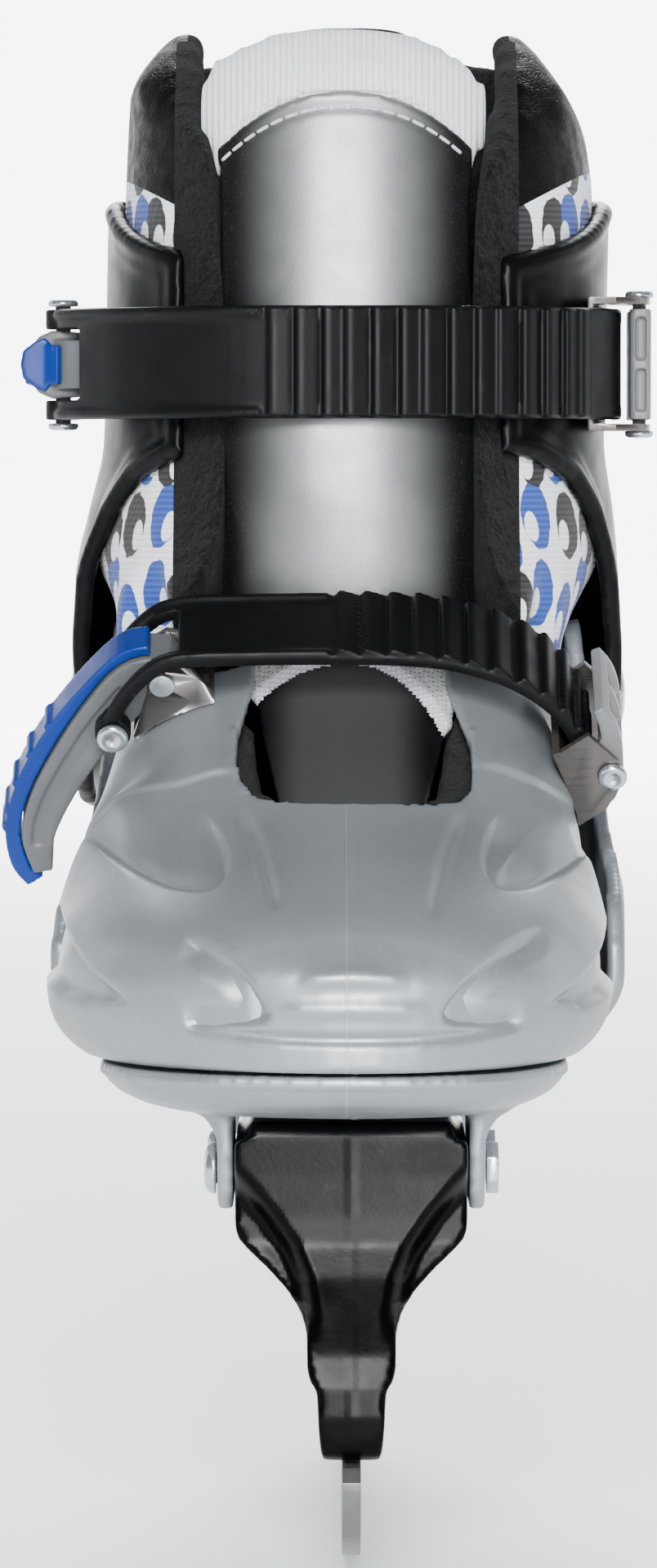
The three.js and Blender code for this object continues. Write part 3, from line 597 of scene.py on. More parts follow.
def steel(name, color, low, high, stretch, stained=0.0, brushed=0.12):
    """Metal with fine lines, stretched by (x, y, z), and dull stains."""
    look = Look(name, color, low, 0.85)
    lines = look.noise(1, 4, source=look.stretched(stretch))
    stain = look.between(look.noise(70, 5, rough=0.65), 0.5, 0.72)
    base = look.mix(lines, scaled(color, 0.85), scaled(color, 1.1))
    look.color(look.mix(look.times(stain, stained), base, (0.13, 0.11, 0.09)))
    look.tree.links.new(look.between(lines, 0.3, 0.7, low, high), look.shader.inputs["Roughness"])
    look.bump(lines, brushed, 0.00015)
    look.bump(look.noise(350, 3), 0.02, 0.0003)
    return look


def fleece():
    look = Look("black fleece", (0.012, 0.012, 0.013), 0.95, 0.0, Sheen_Weight=0.06, Sheen_Roughness=0.4,
                Specular_IOR_Level=0.1)
    tuft = look.noise(1100, 5, rough=0.75)
    clump = look.noise(260, 3)
    base = look.mix(look.between(tuft, 0.35, 0.75), (0.001, 0.001, 0.001), (0.013, 0.013, 0.0135))
    look.color(look.mix(look.between(clump, 0.4, 0.7, 0.0, 0.5), base, (0.005, 0.005, 0.0055)))
    look.bump(tuft, 0.9, 0.0012)
    look.bump(clump, 0.5, 0.002)
    return look


def leatherette():
    look = Look("black leatherette", (0.016, 0.015, 0.015), 0.42, 0.0, Specular_IOR_Level=0.08)
    grain = look.cells(1300, "DISTANCE_TO_EDGE")
    cloud = look.patches(120, 4, 0.3, 0.7)
    look.color(look.mix(cloud, (0.0012, 0.0012, 0.0012), (0.004, 0.004, 0.004)))
    look.roughness(300, 4, 0.36, 0.55)
    look.bump(look.between(grain, 0.0, 0.18), 0.35, 0.0003)
    look.bump(look.noise(90, 3), 0.06, 0.0015)
    return look


def printed_cloth():
    """White ribbed cloth with a generic blue and black print of crescents, and painted shade in the hollows
    of its ribs.
    """
    look = Look("printed ribbed cloth", (0.86, 0.87, 0.92), 0.82, 0.0, Sheen_Weight=0.15)
    x, y, z = look.axes()
    rib = look.ribs(z, 5200.0, -0.6, 0.7)
    # Painted shade: the white is darker in the hollows of the ribs.
    white = look.mix(rib, (0.84, 0.85, 0.90), (0.97, 0.975, 0.99))
    across = look.math("ADD", look.math("ABSOLUTE", x), look.times(y, 0.8))
    flat = look.node("ShaderNodeCombineXYZ", X=across, Y=look.times(z, 0.8), Z=0.0).outputs[0]
    moved = look.vector("ADD", flat, (0.0024, 0.0016, 0))
    full = look.cells(82, source=flat, random=0.45)
    bite = look.cells(82, source=moved, random=0.45)
    pick = look.cells(82, source=flat, random=0.45, output="Color")
    tint = look.node("ShaderNodeSeparateColor", Color=pick).outputs[0]
    wave = look.times(look.math("SUBTRACT", look.noise(420, 1), 0.5), 0.10)
    outer = look.between(look.math("ADD", full, wave), 0.43, 0.45, 1.0, 0.0)
    crescent = look.times(outer, look.between(bite, 0.19, 0.21))
    # The print's blue and black also carry the painted shade of the ribs.
    blue = look.mix(rib, (0.010, 0.05, 0.30), (0.02, 0.085, 0.44))
    black = look.mix(rib, (0.005, 0.005, 0.008), (0.02, 0.02, 0.025))
    look.color(look.mix(crescent, white, look.mix(look.between(tint, 0.5, 0.51), blue, black)))
    look.bump(rib, 0.5, 0.0004)
    look.bump(look.ribs(look.math("ADD", x, y), 7200.0, -1, 1), 0.15, 0.0002)
    look.bump(look.noise(70, 3), 0.2, 0.0015)
    return look


def plain_cloth(name, color, shade, weave, patches, strength, fold):
    """Cloth coloured by a weave of its axes, with painted shade in the weave's hollows: weave, patches and
    fold give its relief and unevenness.
    """
    look = Look(name, color, 0.85, 0.0, Sheen_Weight=0.2)
    height = weave(look, *look.axes())
    # Painted shade: the weave's low parts take the shade colour.
    base = look.mix(height, shade, color)
    patch = look.patches(150, 3, 0.3, 0.7, 0.0, patches)
    look.color(look.mix(patch, base, scaled(color, 0.9)))
    look.bump(height, *strength)
    look.bump(look.noise(90, 2), 0.15, fold)
    return look


def knit(look, x, y, z):
    """Fine ribs side by side along x, made of loops."""
    return look.times(look.ribs(x, 5000.0, -0.7, 0.4),
                      look.ribs(look.math("ADD", z, y), 7000.0, -1, 0.6, 0.55, 1.0))


def rib_weave(look, x, y, z):
    """Ribs across the cloth with a fine cross thread."""
    return look.times(look.ribs(look.math("ADD", z, y), 4300.0, -0.6, 0.7), look.ribs(x, 6000.0, -1, 1))


def spacer_mesh():
    """Grey spacer mesh with small round holes, painted dark as the shade inside them."""
    color = (0.50, 0.51, 0.53)
    look = Look("grey mesh", color, 0.85, 0.0, Sheen_Weight=0.25)
    hole = look.between(look.cells(1100.0, random=0.25), 0.12, 0.42)
    # Painted shade: the holes take a dark grey.
    base = look.mix(hole, (0.20, 0.20, 0.22), color)
    patch = look.patches(180, 3, 0.35, 0.7, 0.0, 0.3)
    look.color(look.mix(patch, base, scaled(color, 0.85)))
    look.bump(hole, 0.7, 0.0006)
    look.bump(look.noise(120, 3), 0.2, 0.001)
    return look


def coated_sheet(name, color, metallic, painted_shade_from, painted_shade_to):
    """Thin metallic-coated skin of the tongue, with painted shade towards its sides where it turns under the
    side rolls.
    """
    look = Look(name, color, 0.36, metallic, Coat_Weight=0.1, Coat_Roughness=0.3)
    grain = look.noise(2200, 3)
    side = look.math("ABSOLUTE", look.math("ADD", look.axes()[0], 0.0009))
    base = look.cloudy(look.patches(35, 3, 0.3, 0.7), color, 0.96, 1.04)
    # Painted shade: the colour darkens towards the sheet's sides, between the two given distances from its
    # middle.
    base = look.mix(look.between(side, painted_shade_from, painted_shade_to), base, scaled(color, 0.06))
    look.color(look.mix(look.between(grain, 0.55, 0.75, 0.0, 0.3), base, scaled(color, 0.72)))
    look.roughness(200, 3, 0.38, 0.42)
    look.bump(grain, 0.10, 0.0002)
    return look


def thread():
    color = (0.62, 0.62, 0.66)
    look = Look("pale thread", color, 0.7, 0.0, Sheen_Weight=0.3)
    twist = look.noise(1, 2, source=look.stretched((2600, 900, 1800)))
    look.color(look.mix(twist, scaled(color, 0.7), color))
    look.bump(twist, 0.5, 0.0002)
    return look


SILVER = silver_plastic()
CUFF_BLACK = black_plastic("black shell plastic", (0.002, 0.002, 0.0025), 0.34, 0.42, 0.03, 0.12)
HOLDER_BLACK = black_plastic("black holder nylon", (0.001, 0.001, 0.0012), 0.20, 0.28, 0.06, 0.07)
STRAP_BLACK = black_plastic("black strap rubber", (0.003, 0.003, 0.0035), 0.40, 0.50, 0.10, 0.16)
LEVER_GREY = tinted_plastic("grey lever plastic", (0.10, 0.105, 0.112), 0.35, 0.48)
THUMB_GREY = tinted_plastic("light grey lever plastic", (0.17, 0.178, 0.186))
BLUE = tinted_plastic("blue plastic", (0.003, 0.026, 0.20))
RUNNER_STEEL = steel("ground runner steel", (0.19, 0.194, 0.20), 0.3, 0.42, (40, 60, 2600), 0.5)
ZINC = steel("zinc plated steel", (0.52, 0.57, 0.62), 0.16, 0.3, (900, 900, 900))
BRACKET = steel("dark plated sheet steel", (0.15, 0.14, 0.135), 0.26, 0.34, (90, 2400, 90), 0.1, 0.03)
FLEECE = fleece()
LEATHERETTE = leatherette()
# The second colour of each plain cloth is the painted shade in its weave's hollows.
WHITE_KNIT = plain_cloth("white mesh", (0.95, 0.955, 0.97), (0.66, 0.67, 0.73), knit, 0.2,
                         (0.6, 0.0006), 0.001)
WHITE_RIB = plain_cloth("white ribbed cloth", (0.78, 0.79, 0.84), (0.45, 0.46, 0.53), rib_weave, 0.25,
                        (0.5, 0.0005), 0.001)
GREY_MESH = spacer_mesh()
PRINTED = printed_cloth()
# The last two numbers of each coated sheet bound its painted shade towards the sides.
DARK_SHEET = coated_sheet("dark coated sheet", (0.085, 0.089, 0.092), 0.6, 0.008, 0.017)
SHIELD = coated_sheet("silver coated sheet", (0.195, 0.206, 0.206), 0.75, 0.011, 0.0235)
THREAD = thread()


def dress(obj, look):
    obj.data.materials.clear()
    obj.data.materials.append(look.material)
    return obj


def piece(obj, look, body=None, nodes=()):
    """Gives a finished piece its material, its body and the CAD nodes that it stands for."""
    dress(obj, look)
    if nodes:
        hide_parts(*nodes)
    if body:
        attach(obj, body)
    return obj


# ---------------------------------------------------------------- moulded shells

TOE_FLOOR = 2.4
REAR_GAP = 0.7
ARM_X = (-40.8, -38.6)
ARM_Z = (109, 119)
LATCH_Y = 14.0
LATCH_Z = 114.0
SIZE_TRAVEL = 20
PIVOT_HOLE = 4
FRAME_BOLT_Y = (-101, -74, 58, 92)
FRAME_BOLT_Z = 80.0
BOLT_HOLE = 3.4

throat_cut = [
    (-18.5, 0), (-19, -38), (-22, -52), (-22.3, -60), (-21, -66), (-18.5, -70.5), (-14, -73),
    (-7, -74.6), (0, -75), (9, -74.6), (16, -73), (21, -70), (23.3, -66), (23.8, -60), (23.5, -52),
    (19, -38), (18.5, 0),
]
toe_side = [
    (-145, 90), (-12, 90), (-12, 128), (-16, 140), (-22, 158), (-25, 165.5), (-28.5, 170.5), (-34, 173),
    (-42, 190), (-145, 190),
]
rear_side = [
    (-44, 90), (-44, 118), (-38, 127), (-24, 134), (-8, 146), (4, 164), (12, 178), (22, 182), (34, 178),
    (48, 176), (70, 178), (90, 180), (104, 178), (106, 165), (109, 140), (110, 115), (108, 90),
]


def boot_body(name, stations, inset, floor_z, widen=lambda y: (0, 0)):
    """The boot's form along the stations, moved in by inset."""
    return loft(name, [boot_ring(y, inset, floor_z, widen(y)) for y in stations])


def cuboid(name, x0, x1, y0, y1, z0, z1):
    return prism(name, [(x0, y0), (x1, y0), (x1, y1), (x0, y1)], z0, z1, from_top)


def rod(name, start, end, radius, sides=32):
    start, end = np.array(start, float), np.array(end, float)
    length = np.linalg.norm(end - start)
    return turned(name, [(0, 0), (radius, 0), (radius, length), (0, length)], start, end - start, sides)


def cross_rod(name, y, z, radius, low=-80, high=80):
    """A rod along X, from x = low to x = high."""
    return rod(name, (low, y, z), (high, y, z), radius)


def rod_pair(name, y, z, radius, near, far):
    """Two rods along X, one on each side, from near to far of the middle."""
    return [rod(name, (way * near, y, z), (way * far, y, z), radius) for way in (-1, 1)]


def bolt_holes():
    return [cross_rod("hole", y, FRAME_BOLT_Z, BOLT_HOLE, -40, 40) for y in FRAME_BOLT_Y]


def signed_distance(points, line):
    """Distance to an open line, positive on its left side, and how far along the nearest point lies."""
    distance, place = line_distance(points, line)
    line = np.asarray(line, float)
    run = run_of(line)
    i = np.clip(np.searchsorted(run / run[-1], place, side="right") - 1, 0, len(line) - 2)
    way = (line[1:] - line[:-1])[i]
    away = points - line[i]
    return np.where(way[:, 0] * away[:, 1] - way[:, 1] * away[:, 0] > 0, distance, -distance), place


def groove(points, line, depth, width):
    """Depth of a soft groove along a line, which fades out at both ends."""
    distance, place = line_distance(points, curve_through(line))
    ends = smoothstep(0, 0.2, place) * (1 - smoothstep(0.8, 1, place))
    return depth * hill(distance, width) * ends


def ledge(points, line, depth, sharp, fade):
    """Depth of a step along a line: sharp on the line and fading out towards its left side."""
    distance, place = signed_distance(points, curve_through(line))
    ends = smoothstep(-0.01, 0.14, place) * (1 - smoothstep(0.86, 1.01, place))
    return depth * smoothstep(-0.3 * sharp, sharp, distance) * (1 - smoothstep(sharp, fade, distance)) * ends


# Relief of the toe's face, as (x, z) lines seen from the front.
eye_left = [
    (-50.5, 139.2), (-43, 136.3), (-34.6, 134.6), (-27.5, 134.4), (-24, 137.2), (-25, 142),
    (-28.6, 147),
]
eye_right = [
    (28.8, 146.6), (26.6, 142), (26, 137.3), (29.2, 134.4), (37.2, 134.6), (43, 136), (48, 138.2),
]
lamps_high = [[(-16.2, 112.2), (-20.2, 118.7), (-24.6, 122.4), (-31, 126)],
              [(36.5, 127), (27.8, 122.6), (21.5, 117.5), (16.6, 111.4)]]
lamps_low = [[(-31.5, 109.2), (-23, 109.7), (-14.6, 111.4)], [(16.4, 111.4), (23, 109.6), (32.5, 108.9)]]
brows = [[(-54, 137.5), (-41.3, 147.2), (-29, 152.5), (-21, 154)],
         [(24, 155), (31, 153.2), (41.3, 148), (52, 138.6)]]
creases = [[(-21.4, 147.3), (-17.4, 140.2), (-14, 130)], [(22.3, 147.3), (18, 138.9), (15, 128.5)]]
nose_low = [(-34, 109.6), (-18.3, 107.7), (1.2, 107.2), (19.1, 107.6), (34, 109.5)]
nose_ribs = [[(-10.5, 118.3), (0.5, 118.5), (11.5, 118.3)], [(-14.5, 112.6), (0.5, 112.9), (15, 112.6)]]
throat_rim = [
    (-22.8, 161.4), (-22.6, 154.5), (-20.5, 151.2), (-9.3, 149.8), (1.3, 149.6), (12.6, 149.9),
    (21.8, 152), (23.8, 156), (24, 161),
]
toe_hollows = [[(-56.5, 128.5), (-52.3, 122.9), (-48, 118), (-42, 113.4), (-50, 111.8), (-55.5, 112.6),
                (-60, 116), (-60, 126)],
               [(49.8, 125.5), (46.4, 119.8), (42, 115.8), (36.5, 112.6), (44, 110.6), (49, 112), (53, 116),
                (53, 124)]]

# Each ledge has its depth, sharpness and fade; each groove has its depth, negative for a rib, and width.
toe_ledges = [(line, 2.0, 0.7, 9) for line in (eye_left, eye_right)]
toe_ledges += [(line, 1.5, 0.7, 6) for line in lamps_high]
toe_ledges += [(line, 1.6, 0.7, 5) for line in lamps_low]
toe_ledges += [(line, -0.8, 0.8, 8) for line in brows]
toe_grooves = [(line, 0.9, 0.8) for line in (eye_left, eye_right)]
toe_grooves += [(line, 1.1, 1.2) for line in creases]
toe_grooves += [(line, 0.7, 0.75) for line in lamps_high + lamps_low]
toe_grooves += [(nose_ribs[0], -0.85, 1.4), (nose_ribs[1], -0.95, 1.7), (nose_low, 1.3, 0.9)]


def toe_relief(x, z):
    """How far the face of the toe shell sinks (positive) or rises, seen from the front."""
    at = np.stack([x, z], 1)
    sink = np.zeros(len(at))
    for line, depth, sharp, fade in toe_ledges:
        sink += ledge(at, line, depth, sharp, fade)
    for line, depth, width in toe_grooves:
        sink += groove(at, line, depth, width)
    for outline in toe_hollows:
        sink += 2.6 * smoothstep(-0.4, 2.0, inside(at, outline))
    distance, _ = line_distance(at, throat_rim)
    sink -= 0.45 * (1 - smoothstep(0.3, 1.5, distance))
    return sink - 0.22 * hill(x - 0.7, 0.32) * (1 - smoothstep(148, 149.5, z))


def toe_shell():
    stations = np.concatenate([[-138.0, -137.4, -136.5, -135], np.linspace(-133, -12, 56)])
    shell = boot_body("toe_shell_moulded", stations, 0, SHELL_BOTTOM)
    inner_stations = np.concatenate([stations[2:] + WALL * 0.9, [4]])
    inner = boot_body("hollow", inner_stations, WALL, SHELL_BOTTOM + TOE_FLOOR)
    combine(shell, [inner, prism("throat", throat_cut, 120, 220, from_top)])
    trim(shell, toe_side)
    arm = cuboid("arm", *ARM_X, -20, 40, *ARM_Z)
    root = cuboid("root", -52, ARM_X[1], -20, -15, *ARM_Z)
    combine(root, [boot_body("keep", stations, 0.4, SHELL_BOTTOM)], "INTERSECT")
    combine(shell, [arm, root], "UNION")
    slot = cuboid("slot", -50, -30, LATCH_Y, LATCH_Y + SIZE_TRAVEL, LATCH_Z - 2.1, LATCH_Z + 2.1)
    sizes = LATCH_Y + np.arange(4) * SIZE_TRAVEL / 3
    notches = [cross_rod("notch", y, LATCH_Z, 3, -50, -30) for y in sizes]
    combine(shell, [slot, *notches])
    remould(shell, 0.68, 5)
    points, normals = points_of(shell), normals_of(shell)
    x, y, z = points.T
    amount = -toe_relief(x, z) * smoothstep(-30, -46, y)
    sideways = smoothstep(-0.2, 0.3, normals[:, 0] * np.sign(x))
    flank = smoothstep(32, 44, np.abs(x)) * hill(z - 146, 12) * smoothstep(-50, -64, y)
    amount += np.where(x < 0, 4.0, 3.4) * flank * sideways
    amount += 0.5 * smoothstep(40, 48, np.abs(x)) * hill(z - 120, 14) * smoothstep(-50, -60, y)
    shift(shell, amount * smoothstep(0.1, 0.45, facing(points, normals, (0, -70, 112))))
    return piece(shell, SILVER, "toe", ["toe_shell"])


def rear_widen(y):
    return float(along(widen_left, y)), float(along(widen_right, y))


def rear_shell():
    stations = np.concatenate([np.linspace(-44, 90, 48), [94, 98, 101, 103, 104.3, 105]])
    grown = [y + (y - 60) * 0.08 if y > 60 else y for y in stations]
    rings = [boot_ring(g, -REAR_GAP - WALL, SHELL_BOTTOM, rear_widen(y)) for g, y in zip(grown, stations)]
    shell = loft("rear_shell_moulded", rings)
    inner = boot_body("hollow", [-60, *stations[:-1]], -REAR_GAP, SHELL_BOTTOM + TOE_FLOOR, rear_widen)
    relief = boot_body("relief", [-60, -52, -44, -36, -30, -20, -10], -REAR_GAP, SHELL_BOTTOM - 4)
    combine(shell, [inner, relief])
    outline = np.concatenate([rear_side[:1], curve_through(rear_side[1:-1], 5), rear_side[-1:]])
    trim(shell, outline)
    combine(shell, [cross_rod("pivots", PIVOT_Y, PIVOT_Z, PIVOT_HOLE)])
    combine(shell, [cross_rod("stem", LATCH_Y, LATCH_Z, 2.2, high=0)])
    remould(shell, 0.85, 4)
    points, normals = points_of(shell), normals_of(shell)
    x, y, z = points.T
    at = points[:, 1:]
    amount = 0.7 * (1 - smoothstep(1.6, 3.2, inside(at, outline))) * smoothstep(104, 112, z)
    step = [(-44, 124), (-20, 133), (0, 146), (14, 156), (30, 158), (60, 152), (90, 150), (108, 152)]
    amount -= ledge(at, step, 0.6, 1.0, 26)
    amount += 0.25 * hill(x, 0.35) * smoothstep(80, 90, y)
    shift(shell, amount * smoothstep(0.1, 0.5, facing(points, normals, (0, 30))))
    return piece(shell, SILVER, "chassis", ["rear_shell"])


HOLDER_HALF = 22.0
HOLDER_FRONT = -130.7
HOLDER_BACK = 112.3
HOLDER_RIVET_Y = (-112, 98)
HOLDER_RIVET_Z = 46.5
RUNNER_SLOT = [(-120.4, 20), (106.4, 20), (106.4, 36.4), (-120.4, 36.4)]
SOLE_BOTTOM = 91.0
SOLE_TOP = 100.0
FLANGES_Y = ((-112, -62), (47, 103))
FLANGE_INNER = HOLDER_HALF + 0.4
FLANGE_OUTER = FLANGE_INNER + 3

sole_left = [
    (-134, 14), (-131, 26), (-124, 36), (-112, 44), (-92, 48), (-65, 47), (-35, 41), (0, 34), (40, 33),
    (75, 33), (92, 28), (102, 18), (106, 8),
]
sole_right = [
    (-134, 13), (-131, 23), (-124, 31), (-112, 37.5), (-92, 41.5), (-65, 41.5), (-35, 37), (0, 32),
    (40, 32), (75, 32), (92, 27), (102, 17), (106, 8),
]


def sole_ring(inset, z):
    """Plan outline of the sole at height z, moved in by inset."""
    y = np.concatenate([np.linspace(-134, -120, 14), np.linspace(-116, 88, 50), np.linspace(91, 106, 14)])
    right = np.stack([along(sole_right, y), y], 1)
    left = np.stack([-along(sole_left, y), y], 1)[::-1]
    nose_x = np.linspace(-14, 13, 12)[1:-1]
    nose = np.stack([nose_x, -134 - 1.6 * (1 - (nose_x / 14)**2)], 1)
    tail_x = np.linspace(8, -8, 8)[1:-1]
    tail = np.stack([tail_x, 106 + 0.8 * (1 - (tail_x / 8)**2)], 1)
    outline = np.concatenate([right, tail, left, nose]) * [1 - inset / 48, 1 - inset / 160]
    return np.column_stack([outline, np.full(len(outline), z)])


def sole_plate():
    profile = [(18, SOLE_BOTTOM), (11, SOLE_BOTTOM + 0.5), (6.5, SOLE_BOTTOM + 1.7), (3.4, SOLE_BOTTOM + 3.3),
               (1.4, SOLE_BOTTOM + 5.2), (0.3, SOLE_BOTTOM + 7), (0, SOLE_TOP - 1.4), (0.2, SOLE_TOP - 0.4),
               (0.8, SOLE_TOP)]
    plate = loft("sole_plate_moulded", [sole_ring(inset, z) for inset, z in profile])
    corner = [(0, 95), (0.5, 84), (2, 76.5), (3.6, 73.8), (6.5, 72.5)]
    fillet = [(-0.6, 84), (0.5, 87.5), (2.2, 90.2), (5, 91.8), (24 - FLANGE_OUTER, 93)]
    for front, back in FLANGES_Y:
        flange = [(front + a, b) for a, b in corner] + [(back - a, b) for a, b in corner[::-1]]
        for way in (-1, 1):
            low, high = sorted((way * FLANGE_INNER, way * FLANGE_OUTER))
            combine(plate, [prism("flange", flange, low, high, from_side)], "UNION")
            outline = [(way * (FLANGE_OUTER + a), b) for a, b in fillet]
            combine(plate, [prism("fillet", outline, front + 1, back - 1, from_front)], "UNION")
    combine(plate, bolt_holes())
    remould(plate, 0.8, 5)
    points, normals = points_of(plate), normals_of(plate)
    x, y, z = points.T
    radial = smoothstep(0.2, 0.6, np.hypot(normals[:, 0], normals[:, 1]))
    lip = smoothstep(SOLE_TOP - 2.6, SOLE_TOP - 2.0, z) * 0.45
    seam = hill(x - 0.4, 0.32) * smoothstep(-100, -115, y)
    shift(plate, lip * radial + 0.18 * seam)
    return piece(plate, SILVER, "chassis", ["sole_plate"])


holder_side = [
    (-127, 27.3), (-129.4, 28.6), (-130.4, 31), (-130.7, 36), (-130, 41), (-128, 47), (-125, 53.5),
    (-121.5, 61), (-119.2, 67), (-118, 73), (-117.3, 80), (-117, 87), (-116.4, 89.3), (-115, 90),
    (-60, 90), (-57.8, 89), (-57, 87), (-56.8, 80), (-57, 73), (-58.6, 66), (-59.4, 59), (-58, 53),
    (-55, 49.3), (-49, 45.6), (-42, 43.4), (-32, 41.6), (-20, 41), (10, 41), (20, 41.7), (28, 43.2),
    (36, 45.8), (42, 49.6), (45.6, 54.5), (46.4, 60), (45.2, 66.5), (44.2, 73), (44, 80), (44.2, 87),
    (44.8, 89.2), (46, 90), (106, 90), (108.2, 89), (109.2, 87), (109.8, 80), (110, 73), (111.2, 66),
    (112, 58), (112.3, 48), (111.8, 38), (110.4, 31), (109, 28.6), (107, 27.3),
]
holder_half = [
    (5.2, 27.3), (5.8, 29), (6.2, 34), (6.5, 40.5), (7.9, 42.6), (8.3, 44.5), (8.4, 51), (9.4, 54.2),
    (12.2, 58.4), (15.6, 62), (19.2, 65.3), (21.4, 67.6), (22, 70), (22, 85.6), (21.5, 86.6),
    (19.6, 87), (19.4, 88), (18.8, 90.2),
]


holder_face = [
    (4, 20), (5.2, 45), (5.6, 55), (6.8, 61), (9.4, 67), (13.5, 73), (18.5, 79), (24, 84.5), (30, 84.5),
    (30, 100),
]
front_slant = [(27, 1.5), (41, 0.8), (53, 5.5), (61, 9), (73, 12.7), (90, 14.5)]

# Hollows in the holder's sides, as (y, z) outlines with their depth and the width of their slope.
holder_pockets = [
    ([(-112, 62), (-68, 62), (-64, 70), (-112, 70)], 1.0, 2.0),
    ([(52, 58), (104, 58), (104, 69), (54, 69)], 1.0, 2.0),
    ([(-50, 30), (96, 30), (96, 37), (-50, 37)], 0.9, 1.6),
]


def mirrored(half):
    """A closed outline from its right half."""
    return half + [(-a, b) for a, b in half][::-1]


def blade_holder():
    beam = prism("blade_holder_moulded", holder_side, -40, 40, from_side)
    trim(beam, mirrored(holder_half), -140, 140, from_front)
    holes = bolt_holes()
    for y in HOLDER_RIVET_Y:
        holes.append(cross_rod("hole", y, HOLDER_RIVET_Z, 2.35, -20, 20))
        holes += rod_pair("seat", y, HOLDER_RIVET_Z, 3.6, 6.5, 20)
    combine(beam, [prism("slot", RUNNER_SLOT, -1.7, 1.7, from_side), *holes])
    remould(beam, 0.75, 4)
    x, y, z = points_of(beam).T
    outside = -inside(np.stack([x, z], 1), mirrored(holder_face))
    sunk = 5.5 * smoothstep(0, 4.6, outside) * smoothstep(49, 57, z) * (1 - smoothstep(83.5, 85.5, z))
    for depth, way in ((y - HOLDER_FRONT - along(front_slant, z), 1), (HOLDER_BACK - y - 2.0, -1)):
        y = y + way * sunk * (1 - smoothstep(1, 15, depth))
    seam = hill(x, 0.35) * smoothstep(-112, -116, y)
    move_points(beam, np.stack([x, y - 0.15 * seam, z], 1))
    at = np.stack([y, z], 1)
    sink = sum(depth * smoothstep(0, slope, inside(at, outline)) for outline, depth, slope in holder_pockets)
    shift(beam, -sink * smoothstep(0.4, 1.0, np.abs(normals_of(beam)[:, 0])))
    return piece(beam, HOLDER_BLACK, "chassis", ["blade_holder"])


toe_shell()
rear_shell()
sole_plate()
blade_holder()

# ---------------------------------------------------------------- CAD nodes that keep their own mesh

BOLT_NAMES = ("front_1", "front_2", "rear_1", "rear_2")

# The look, slot and width of bevel in millimetres of each.
BEVELLED = {
    "runner": (RUNNER_STEEL, "runner_steel", 0.12),
    "size_button": (LEVER_GREY, "grey_plastic", 0.5),
    "insole": (WHITE_RIB, "white_fabric", 0.8),
}
for number in BOLT_NAMES:
    BEVELLED[f"frame_nut_{number}"] = (ZINC, "fastener_steel", 0.3)
for place in ("upper", "instep"):
    BEVELLED[f"{place}_lever_bracket"] = (BRACKET, "bracket_steel", 0.3)
    BEVELLED[f"{place}_lever_pin"] = (ZINC, "fastener_steel", 0.3)
    BEVELLED[f"{place}_ratchet_bracket"] = (BRACKET, "bracket_steel", 0.35)
for name, (look, slot, radius) in BEVELLED.items():
    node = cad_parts[name]
    node.data.materials.clear()
    node.data.materials.append(look.material)
    weld = node.modifiers.new("weld", "WELD")
    weld.merge_threshold = 0.00005
    bevel = node.modifiers.new("bevel", "BEVEL")
    bevel.width = radius * MM
    bevel.segments = 3
    bevel.limit_method = "ANGLE"
    bevel.angle_limit = math.radians(35)
    node.data.shade_smooth()

# ---------------------------------------------------------------- cuff

cuff_side = [
    (14, 160), (17.5, 154), (22, 150), (28, 146), (34, 143.6), (46, 142.3), (60, 142.6), (86, 147),
    (112, 152), (120, 158), (120, 263), (108, 266.5), (90, 269), (70, 270), (46, 269.4), (24, 267.6),
    (6, 261.8), (-10, 257), (-24, 252.6), (-30, 251), (-30, 217.5), (-24, 217.5), (-14, 215.5),
    (-5, 211), (2, 203.5), (7.5, 191), (11.5, 176),
]
cuff_panel = [(70, 188), (130, 188), (130, 250), (82, 250), (74, 238)]
cuff_waist = [(16, 188), (40, 200), (66, 205), (118, 204)]
cuff_window = [(-33.5, 190), (30.5, 190), (30.5, 275), (-33.5, 275)]
TAB_LEFT = cuff_window[0][0]
TAB_RIGHT = cuff_window[1][0]
ANKLE_MIDDLE = (0, 38)


def cuff():
    heights = np.concatenate([[134], np.arange(138, 291, 4)])
    shell = loft("cuff_moulded", [leg_ring(z, 0, 160) for z in heights])
    inner = loft("hollow", [leg_ring(z, 3, 160) for z in np.concatenate([[124], heights, [300]])])
    bosses = rod_pair("boss", PIVOT_Y, PIVOT_Z, 9.2, 48.4, 56.3)
    combine(shell, [inner, prism("window", cuff_window, -60, 30, from_front)])
    trim(shell, cuff_side)
    combine(shell, bosses, "UNION")
    combine(shell, [cross_rod("hole", PIVOT_Y, PIVOT_Z, PIVOT_HOLE)])
    remould(shell, 0.85, 5)
    points, normals = points_of(shell), normals_of(shell)
    x, y, z = points.T
    at = points[:, 1:]
    front = np.where(y < 25, np.where(x < 0, TAB_LEFT - x, x - TAB_RIGHT), 99)
    edge = np.minimum(inside(at, cuff_side), np.where(front > -1, front, 99))
    amount = 0.8 * smoothstep(0.2, 1.2, edge) * (1 - smoothstep(2.6, 4.2, edge))
    amount -= 0.5 * smoothstep(5, 8, edge) * (1 - smoothstep(8, 30, y))
    ring = np.hypot(y - PIVOT_Y, z - PIVOT_Z)
    amount = amount * smoothstep(10.5, 12, ring) - 0.9 * hill(ring - 11, 0.9)
    amount += 0.8 * smoothstep(-0.5, 1.2, inside(at, cuff_panel)) - groove(at, cuff_waist, 0.6, 1.2)
    shift(shell, amount * smoothstep(0.15, 0.5, facing(points, normals, ANKLE_MIDDLE)))
    smooth(shell, 4)
    return piece(shell, CUFF_BLACK, "cuff_and_liner", ["cuff"])


# ---------------------------------------------------------------- soft parts

STUFFING_PRESSURE = 4.0
MOST_SWELL = 1.6


